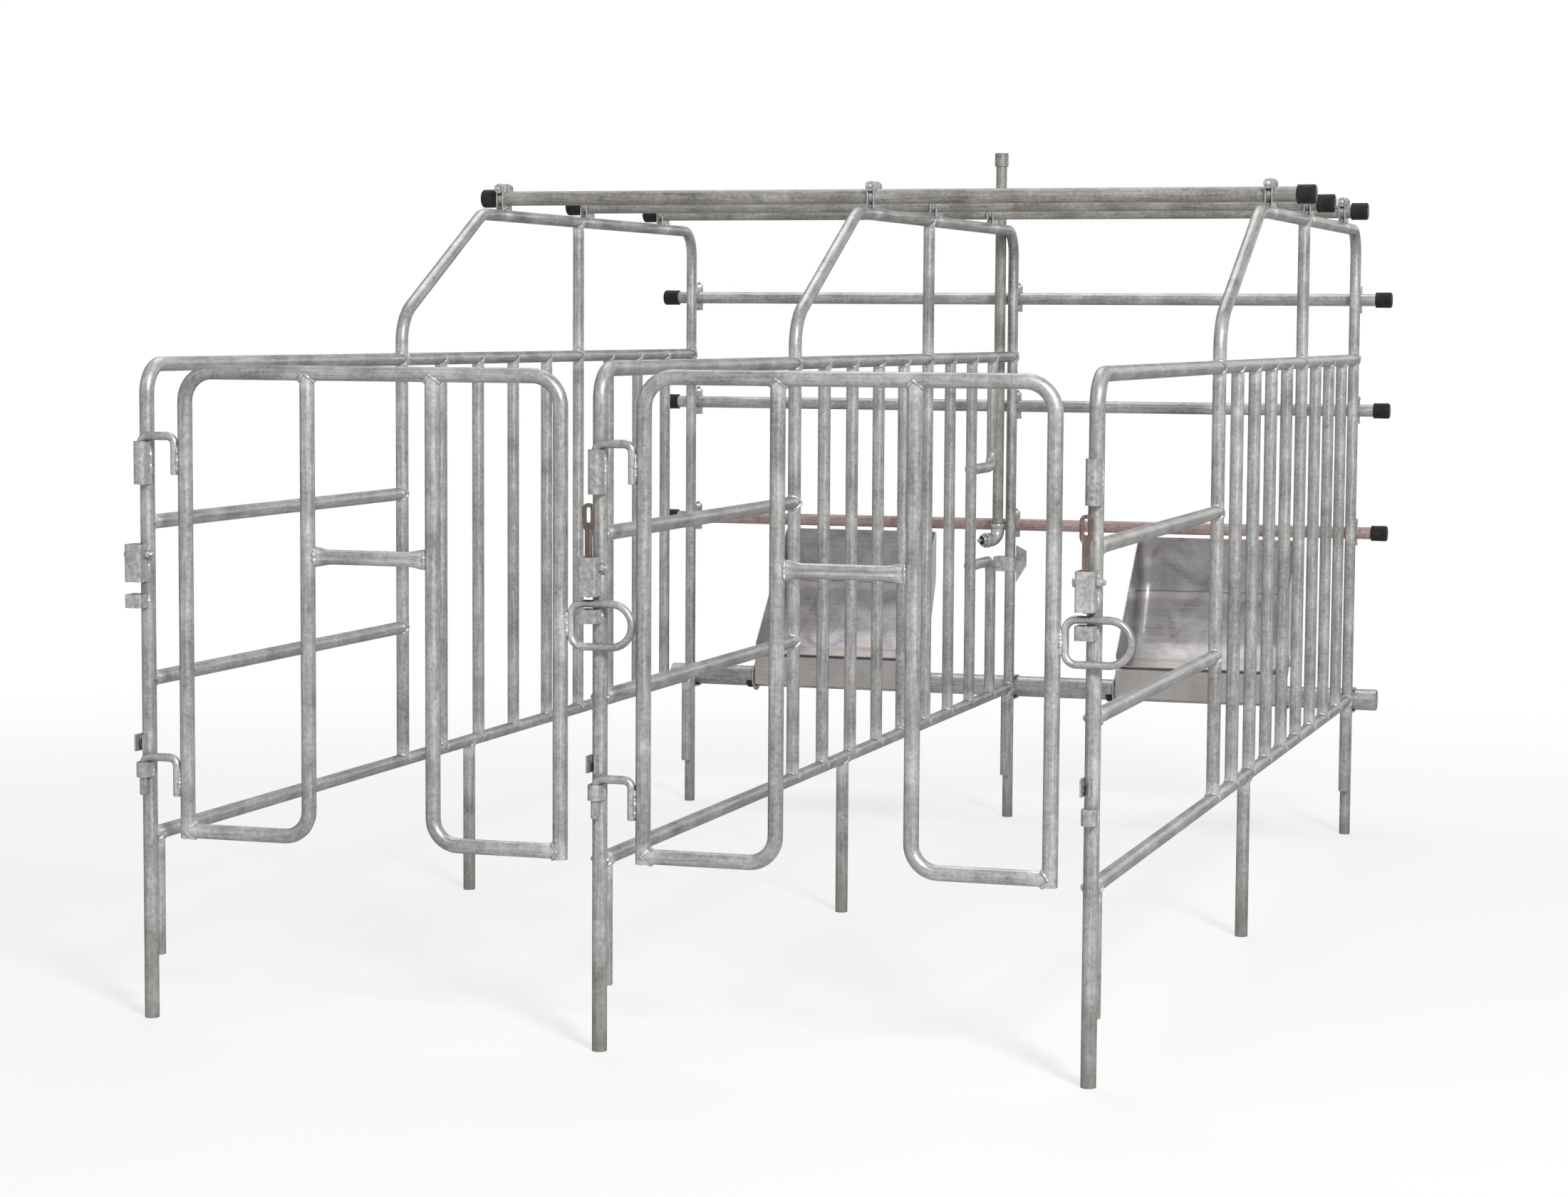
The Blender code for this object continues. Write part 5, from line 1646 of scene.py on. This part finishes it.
@dataclass(frozen=True)
class Crossbars:
    """Bars over the arches and behind the front posts, each with a rubber cap on both ends."""

    top_r: float = 0.0130
    front_r: float = 0.0120
    left: float = 0.0405
    rights: tuple[float, ...] = (0.078, 0.048, 0.048)
    overhang: float = 0.070
    cap: Pair = (0.032, 0.0035)

    @staticmethod
    def top_places() -> tuple[float, float, float]:
        """Return the Y places of the bars over the arches."""
        return (LAYOUT.apex + 0.103, LAYOUT.apex + 0.528, LAYOUT.length - 0.182)

    def sleeve(self, tip: Row, way: Array, radius: float) -> Surface:
        """Return a cap: a sleeve with a rounded end, a mould line and a rolled lip.

        Args:
            tip: middle of its closed end.
            way: direction from there to its lip.
            radius: the bar's radius.

        Returns:
            The closed surface.
        """
        length, wall = self.cap
        outer, edge = radius + wall, 0.004
        rows = rounds((0.0, 0.3 * outer)) + nose(0.0, -1.0, outer, edge)[::-1]
        rows += rounds((0.009, outer), (0.0095, outer - 0.0004), (0.010, outer))
        rows += rounds((length - 0.004, outer - 0.0003), (length - 0.003, outer), (length - 0.0005, outer))
        rows += rounds((length, outer - 0.0008), (length, radius - 0.001))
        return turned(tip, way, rows)

    def bar(self, title: str, node: str, ends: Pair, y: float, z: float, radius: float, slot: Slot) -> None:
        """Build one bar and its two caps.

        Args:
            title: the bar's title.
            node: the CAD node that it is shown in place of.
            ends: X places of its ends, caps included.
            y: its place along the stalls.
            z: its height.
            radius: its radius.
            slot: its finish.
        """
        inside = 0.006
        path = Path.through(((ends[0] + inside, y, z), (ends[1] - inside, y, z)))
        welds = [((x, y, z), 0.010) for x in PANELS.values()]
        publish(title, sweep(path, Z_AXIS, radius, facets=32), slot, [node], welds=welds)
        for name, tip, way in (("left", ends[0], X_AXIS), ("right", ends[1], -X_AXIS)):
            publish(f"{title}_cap_{name}", self.sleeve((tip, y, z), way, radius), Slot.RUBBER, [node])

    def build(self) -> None:
        """Build all six bars."""
        stall = LAYOUT.stall
        height = LAYOUT.arch + Clamp(self.top_r).drop
        for title, y, reach in zip(("rear", "middle", "front"), self.top_places(), self.rights):
            ends = (-stall - self.left, stall + reach)
            self.bar(f"top_bar_{title}", f"top_crossbar_{title}", ends, y, height, self.top_r, Slot.WEATHERED)
        y = LAYOUT.length + Clamp(self.front_r).drop
        ends = (-stall - self.overhang, stall + self.overhang)
        nodes = ("front_crossbar_upper", "front_crossbar_middle", "trough_guard_bar")
        titles = ("front_bar_upper", "front_bar_middle", "guard_bar")
        for title, node, height in zip(titles, nodes, LAYOUT.front_bars):
            slot = Slot.STAINED if title == "guard_bar" else Slot.TUBE
            self.bar(title, node, ends, y, height, self.front_r, slot)


@dataclass(frozen=True)
class Trough:
    """One stainless trough on the feeder tube, with its apron, its two brackets and their bolts."""

    side: str
    centre: float
    width: float = 0.338
    wall: float = 0.0020
    corner: float = 0.026
    places: tuple[Pair, ...] = ((0.008, 0.321), (0.122, 0.262), (0.212, 0.362), (0.258, 0.465))
    top: float = 0.574
    bends: tuple[float, ...] = (0.060, 0.090, 0.090)
    apron_bottom: float = 0.256
    apron_bend: float = 0.0060
    apron_flange: float = 0.018
    apron_inset: float = 0.002
    bracket_wall: float = 0.0030
    bracket_ring: float = 0.0085
    bracket_arm: float = 0.026
    bolt: Pair = (0.120, 0.330)
    liner: Pair = (0.0028, 0.0150)

    def profile(self) -> Array:
        """Return the middle section of the underside, from the lip to the top of the back, as (y, z)."""
        corners = (*self.places, (self.places[-1][0], self.top))
        return Path.through(corners, self.bends).flat + np.array((LAYOUT.length, 0.0))

    def skin(self, inset: float) -> Array:
        """Return one skin as a grid: rows along the section, columns from side to side.

        A column is the profile moved inwards by its rise. The rise is the inset across the floor and
        follows a quarter circle at each side. Beyond that the columns of the flat side wall blend the
        last profile with the straight line from its lip end to its top end.

        Args:
            inset: how far the skin lies inside the outer one.

        Returns:
            Places by row and column.
        """
        half, radius = self.width / 2 - inset, self.corner - inset
        turn = np.linspace(math.pi / 2, 0.0, 9)
        right = np.column_stack((half - radius + radius * np.cos(turn), inset + radius * (1 - np.sin(turn))))
        floor = np.linspace(-1.0, 1.0, 15)[1:-1] * (half - radius)
        flat = np.column_stack((floor, np.full(len(floor), inset)))
        section = np.vstack((right[::-1] * (-1, 1), flat, right))
        profile = self.profile()
        columns = [np.column_stack((np.full(len(profile), a), offset(profile, rise))) for a, rise in section]
        for edge, hand in ((columns[0], -1), (columns[-1], 1)):
            steps = np.linalg.norm(np.diff(edge, axis=0), axis=1)
            share = (np.concatenate(([0.0], np.cumsum(steps))) / np.sum(steps))[:, None]
            chord = edge[0] + (edge[-1] - edge[0]) * share
            wall = [edge + (chord - edge) * blend for blend in np.linspace(0.0, 1.0, 8)[1:]]
            columns = columns + wall if hand > 0 else wall[::-1] + columns
        return np.stack(columns, axis=1) + np.array((self.centre, 0.0, 0.0))

    def shell(self) -> Surface:
        """Return the bent sheet, two skins joined round the rim.

        Returns:
            The closed surface. Only the inner skin's flow lies at the heights of the finish's marks.
        """
        outer, inner = self.skin(0.0), self.skin(self.wall)
        rows, columns = outer.shape[:2]
        index = np.arange(rows * columns).reshape(rows, columns)
        rim = np.concatenate((index[0], index[1:, -1], index[-1, -2::-1], index[-2:0:-1, 0]))
        after = np.roll(rim, -1)
        count = rows * columns
        faces = lattice(rows, columns, loop_columns=False)
        edges = np.column_stack((rim, after, after + count, rim + count))
        points = np.vstack((outer.reshape(-1, 3), inner.reshape(-1, 3)))
        flow = points + np.repeat(((0.0, 0.0, 5.0), (0.0, 0.0, 0.0)), count, axis=0)
        return Surface(points, flow, (faces, faces + count, edges))

    def apron(self) -> Surface:
        """Return the sheet that hangs from the lip, with its flange under the floor.

        Returns:
            The closed surface.
        """
        lip = np.array(self.places[0])
        slope = unit(np.array(self.places[1]) - lip)
        start = lip - np.array((-slope[1], slope[0])) * (self.wall / 4)
        plane = lip[0] + self.wall / 2
        corner = start + slope * ((plane - start[0]) / slope[0])
        corners = ((plane, self.apron_bottom), tuple(corner), tuple(corner + slope * self.apron_flange))
        line = Path.through(corners, (self.apron_bend,)).flat + np.array((LAYOUT.length, 0.0))
        half = self.width / 2 - self.apron_inset
        return strip(line, self.wall, "X", self.centre - half, self.centre + half)

    def build_bracket(self, end: str, hand: float) -> None:
        """Build one bracket with its bolt, and the rubber liner under the tube beside it.

        Args:
            end: the bracket's side of the trough.
            hand: -1 for the left and 1 for the right.
        """
        node = [f"trough_{self.side}_bracket_{end}"]
        seat = (LAYOUT.length + self.bolt[0], self.bolt[1])
        middle = (LAYOUT.feeder_y, LAYOUT.feeder_z)
        bore = LAYOUT.feeder_r + LAYOUT.gap
        ring, arm = bore + self.bracket_ring, self.bracket_arm / 2
        way = np.array(seat) - np.array(middle)
        base = math.degrees(math.atan2(way[1], way[0]))
        fan = math.degrees(math.acos((ring - arm) / float(np.linalg.norm(way))))
        round_tube = arc_points(middle, ring, base + fan, base + 360 - fan, 48)
        round_bolt = arc_points(seat, arm, base - fan, base + fan, 24)
        outer, spokes = seen_from(np.vstack((round_tube, round_bolt)), middle, 96)
        near = self.centre + hand * (self.width / 2 + LAYOUT.gap)
        far = near + hand * self.bracket_wall
        bracket = ring_plate(outer, np.asarray(middle) + spokes * bore, "X", min(near, far), max(near, far))
        publish(f"bracket_{self.side}_{end}", bracket, Slot.PLATE, node, edge=THIN_EDGE)
        grip = self.bracket_wall + self.wall + LAYOUT.gap
        bolt = hex_bolt((far - hand * LAYOUT.gap, *seat), -hand * X_AXIS, grip)
        publish(f"bracket_bolt_{self.side}_{end}", bolt, Slot.BOLT, node)
        thick, width = self.liner
        line = arc_points(middle, LAYOUT.feeder_r + 0.0002 + thick / 2, -158, -22, 24)
        liner = strip(line, thick, "X", *sorted((far + hand * LAYOUT.gap, far + hand * width)))
        publish(f"tube_liner_{self.side}_{end}", liner, Slot.RUBBER, node, edge=0.0006)

    def build(self) -> None:
        """Build the trough and its brackets."""
        node = [f"trough_{self.side}"]
        edge = LAYOUT.length + self.places[0][0]
        half = self.width / 2
        height = self.places[0][1] + 0.02
        welds = [((self.centre + hand * half, edge + 0.012, height), 0.004) for hand in (-1, 1)]
        publish(f"trough_sheet_{self.side}", self.shell(), Slot.SHEET, node, welds=welds, edge=THIN_EDGE)
        publish(f"trough_apron_{self.side}", self.apron(), Slot.SHEET, node, welds=welds, edge=THIN_EDGE)
        self.build_bracket("left", -1.0)
        self.build_bracket("right", 1.0)


@dataclass(frozen=True)
class FeederTube:
    """The large open tube that carries the troughs."""

    left: float = 0.049
    right: float = 0.055
    wall: float = 0.0030

    def build(self) -> None:
        """Build the tube."""
        y, z, stall = LAYOUT.feeder_y, LAYOUT.feeder_z, LAYOUT.stall
        path = Path.through(((-stall - self.left, y, z), (stall + self.right, y, z)))
        tube = sweep(path, Z_AXIS, LAYOUT.feeder_r, (End.OPEN, End.OPEN), 44, self.wall)
        welds = [((x, y - LAYOUT.feeder_r, z), 0.012) for x in PANELS.values()]
        publish("feeder_pipe", tube, Slot.TUBE, ["feeder_tube"], welds=welds)


@dataclass(frozen=True)
class Drinker:
    """Water pipe with an open socket, elbow, push nipple, and the strap on the middle front post."""

    x: float = -0.02195
    y: float = 2.378
    bottom: float = 0.612
    top: float = 1.362
    pipe: float = 0.0110
    bore: float = 0.0080
    socket_wall: float = 0.0026
    socket: Pair = (0.027, 0.008)
    elbow: float = 0.0135
    drop: float = 0.034
    bend: float = 0.020
    mouth: float = 0.034
    yaw: float = math.radians(38)
    strap_top: float = 0.566
    plate_height: float = 0.077
    reach: float = 0.022
    strap_height: float = 0.030
    strap_wall: float = 0.0030

    @property
    def way(self) -> Array:
        """Return the direction in which the nipple points."""
        return np.array((-math.sin(self.yaw), -math.cos(self.yaw), 0.0))

    def build_pipe(self) -> None:
        """Build the pipe and the socket on its top."""
        path = Path.through(((self.x, self.y, self.bottom), (self.x, self.y, self.top)))
        tube = sweep(path, X_AXIS, self.pipe, (End.BURIED, End.OPEN), wall=self.pipe - self.bore)
        welds = [((self.x, self.y, LAYOUT.rail), 0.014)]
        publish("water_tube", tube, Slot.WEATHERED, ["water_pipe"], welds=welds)
        height, lip = self.socket
        outer, inner = self.pipe + LAYOUT.gap + self.socket_wall, self.pipe + LAYOUT.gap
        rows = rounds((0.0, outer - 0.0008), (0.0008, outer), (height - 0.0012, outer))
        rows += rounds((height - 0.0003, outer - 0.0004), (height, outer - 0.0010), (height, inner))
        rows += rounds((height - lip - 0.002, inner - 0.0001))
        low = self.top + lip - height
        publish("open_socket", turned((self.x, self.y, low), Z_AXIS, rows), Slot.WEATHERED, ["pipe_socket"])

    def build_elbow(self) -> None:
        """Build the elbow with a raised band at both ends."""
        top = np.array((self.x, self.y, self.bottom - LAYOUT.gap))
        corner = top - Z_AXIS * self.drop
        mouth = corner + self.way * self.mouth
        normal = np.cross(self.way, Z_AXIS)
        path = Path.through((top, corner, mouth), (self.bend,))
        parts = [sweep(path, normal, self.elbow, (End.ROUNDED, End.ROUNDED), wall=0.0012)]
        band = rounds((0.0, 0.0128), (0.0006, 0.0147), (0.0015, 0.0152))
        band += rounds((0.0085, 0.0152), (0.0095, 0.0146), (0.0102, 0.0130))
        parts += [turned(top, -Z_AXIS, band), turned(mouth, -self.way, band)]
        publish("elbow", joined(parts), Slot.FITTING, ["drinker_elbow"])
        flats, collar = 0.0117, 0.0130
        rows = [(0.0003, flats, 0.0122), (0.0010, flats, collar), (0.0044, flats, collar)]
        rows += [(0.0053, flats, 0.0120)] + rounds((0.0053, 0.0104), (0.0068, 0.0102))
        rows += rounds((0.0073, 0.0097), (0.0073, 0.0090), (0.0040, 0.0088))
        publish("nipple_collar", turned(mouth, self.way, rows), Slot.FITTING, ["nipple_body"])
        # A black rubber ring deep in the collar: painted shade that makes the bore look dark.
        bore_shade = rounds((0.0030, 0.0086), (0.0046, 0.0086), (0.0050, 0.0080))
        publish("nipple_bore_shade", turned(mouth, self.way, bore_shade), Slot.RUBBER, ["nipple_body"])
        tip, pin = 0.0170, 0.0038
        rows = rounds((-0.006, pin), (0.0020, pin), (tip - 0.0035, pin)) + nose(tip, 1.0, pin, 0.0015)
        publish("push_pin", turned(mouth, self.way, rows), Slot.FITTING, ["nipple_pin"], "nipple")

    def build_strap(self) -> None:
        """Build the strap round the post, the pointed plate beside it and the bolt."""
        wall, length = self.strap_wall, LAYOUT.length
        middle, reach = LAYOUT.tube + LAYOUT.gap + wall / 2, LAYOUT.tube + self.reach
        bend = arc_points((0, length), middle, -90, 90, 28)
        line = np.vstack(((-reach, length - middle), bend, (-reach, length + middle)))
        low = self.strap_top - self.plate_height
        strap_low = low + (self.plate_height - self.strap_height) / 2
        far = middle + self.reach
        shoulder = self.strap_top - self.reach / 2
        corners = [(middle, low), (far, shoulder - self.strap_height)]
        corners += [(far, shoulder), (middle, self.strap_top)]
        y = length - 0.002
        parts = [
            strip(line, wall, "Z", strap_low, strap_low + self.strap_height),
            plate(np.array(corners), "Y", length - wall / 2, length + wall / 2),
            seam((middle, y, strap_low + 0.002), (middle, y, strap_low + 0.028), 0.0018),
        ]
        node = ["drinker_clamp"]
        publish("drinker_strap", joined(parts), Slot.PLATE, node, edge=THIN_EDGE)
        grip = 2 * (middle + wall / 2 - LAYOUT.gap)
        seat = (-LAYOUT.tube - self.reach / 2, length - grip / 2, strap_low + self.strap_height / 2)
        publish("strap_bolt", hex_bolt(seat, Y_AXIS, grip), Slot.BOLT, node)

    def build(self) -> None:
        """Build the drinker."""
        self.build_pipe()
        self.build_elbow()
        self.build_strap()


@dataclass(frozen=True)
class Lamp:
    """One soft area lamp."""

    name: str
    place: Row
    target: Row
    size: float
    power: float

    def build(self) -> None:
        """Make the lamp and point it at its target."""
        light = bpy.data.lights.new(self.name, "AREA")
        light.shape = "DISK"
        light.size = self.size
        light.energy = self.power
        item = bpy.data.objects.new(self.name, light)
        item.location = self.place
        item.rotation_euler = (Vector(self.target) - Vector(self.place)).to_track_quat("-Z", "Y").to_euler()
        bpy.context.scene.collection.objects.link(item)


@dataclass(frozen=True)
class Studio:
    """Camera at the photograph's angle, pale floor, white surroundings and soft lamps."""

    place: Row = (1.6444, -4.3583, 1.0169)
    azimuth: float = math.radians(17.531)
    pitch: float = math.radians(4.651)
    roll: float = math.radians(0.358)
    lens: float = 77.135
    ambient: float = 0.11
    floor_size: float = 60.0
    floor_lines: int = 13
    floor_colour: Colour = (0.80, 0.80, 0.80)
    floor_white: float = 0.72       # share of plain white in what the camera sees of the floor
    floor_fade: Pair = (2.2, 5.0)    # distances between which that share grows to one
    lamps: tuple[Lamp, ...] = (
        Lamp("key", (4.0, -4.4, 4.2), (0.0, 0.9, 0.6), 1.6, 570.0),
        Lamp("fill", (-4.8, -3.4, 2.6), (0.0, 1.2, 0.6), 3.2, 38.0),
        Lamp("top", (-0.8, 3.2, 5.2), (0.0, 1.2, 0.4), 3.5, 135.0),
        Lamp("back", (2.5, 7.5, 2.5), (0.0, 1.8, 0.6), 3.0, 70.0),
    )

    def build_camera(self) -> None:
        """Place the camera; its axes are turned by the azimuth, then the pitch, then the roll."""
        sin_a, cos_a = math.sin(self.azimuth), math.cos(self.azimuth)
        sin_p, cos_p = math.sin(self.pitch), math.cos(self.pitch)
        ahead = np.array((-sin_a * cos_p, cos_a * cos_p, -sin_p))
        level = np.array((cos_a, sin_a, 0.0))
        above = np.cross(level, ahead)
        right = level * math.cos(self.roll) + above * math.sin(self.roll)
        upward = above * math.cos(self.roll) - level * math.sin(self.roll)
        lens = bpy.data.cameras.new("photo_camera")
        lens.sensor_fit = "HORIZONTAL"
        lens.sensor_width = 36.0
        lens.lens = self.lens
        camera = bpy.data.objects.new("photo_camera", lens)
        turn = np.column_stack((right, upward, -ahead))
        camera.matrix_world = Matrix.Translation(self.place) @ Matrix(turn.tolist()).to_4x4()
        bpy.context.scene.collection.objects.link(camera)
        bpy.context.scene.camera = camera

    @staticmethod
    def seen(bench: Bench) -> Socket:
        """Return 1 for rays from the camera, from gloss and through glass, and 0 for the rest.

        Args:
            bench: the node tree that needs it.

        Returns:
            The output.
        """
        rays = bench.node("LightPath", {}).outputs
        glossy = bench.maths("MAXIMUM", rays["Is Camera Ray"], rays["Is Glossy Ray"])
        return bench.maths("MAXIMUM", glossy, rays["Is Transmission Ray"])

    def build_world(self) -> None:
        """Make surroundings that look white and light the object softly."""
        bench = Bench(bpy.data.worlds.new("studio"), "Background")
        bench.feed(bench.shader.inputs["Color"], (1.0, 1.0, 1.0, 1.0))
        strength = bench.spread(self.seen(bench), 0.0, 1.0, self.ambient)
        bench.feed(bench.shader.inputs["Strength"], strength)
        bpy.context.scene.world = bench.owner

    def build_floor(self) -> None:
        """Make the floor, whose view is part plain white and part lit, so that the shadow stays."""
        count, half = self.floor_lines, self.floor_size / 2
        x, y = np.meshgrid(np.linspace(-half, half, count), np.linspace(-half, half, count))
        places = np.stack((x, y, np.zeros_like(x)), axis=-1).reshape(-1, 3)
        mesh = bpy.data.meshes.new("floor")
        mesh.from_pydata(places.tolist(), [], lattice(count, count, loop_columns=False).tolist())
        bench = Bench(bpy.data.materials.new("floor"))
        bench.feed(bench.shader.inputs["Specular IOR Level"], 0.0)
        bench.finish(0.0, bench.solid(self.floor_colour), 0.9)
        away = bench.node("VectorMath", {0: bench.place()}, operation="LENGTH").outputs["Value"]
        near, far = self.floor_fade
        feeds = {0: away, 1: near, 2: far, 3: self.floor_white, 4: 1.0}
        white = bench.node("MapRange", feeds, interpolation_type="SMOOTHSTEP").outputs[0]
        share = bench.maths("MULTIPLY", self.seen(bench), white)
        plain = bench.node("Emission", {}).outputs[0]
        mix = bench.node("MixShader", {0: share, 1: bench.shader.outputs[0], 2: plain}).outputs[0]
        bench.feed(bench.tree.nodes["Material Output"].inputs["Surface"], mix)
        mesh.materials.append(bench.owner)
        floor = bpy.data.objects.new("floor", mesh)
        bpy.context.scene.collection.objects.link(floor)

    def build(self) -> None:
        """Build the studio."""
        self.build_camera()
        self.build_world()
        self.build_floor()
        for lamp in self.lamps:
            lamp.build()
        bpy.context.scene.view_settings.view_transform = "Standard"


def main() -> None:
    """Build the studio and every sub-assembly."""
    logging.basicConfig(level=logging.INFO, format="%(name)s: %(message)s")
    Studio().build()
    for side, x in PANELS.items():
        Panel(side, x).build()
        PostFittings(side, x).build()
    DropPin("left", PANELS["middle"]).build()
    DropPin("right", PANELS["right"]).build()
    Gate("left", PANELS["left"]).build()
    Gate("right", PANELS["middle"]).build()
    Crossbars().build()
    FeederTube().build()
    middle = LAYOUT.stall / 2 + 0.040
    Trough("left", -middle).build()
    Trough("right", middle).build()
    Drinker().build()


if __name__ == "__main__":
    main()
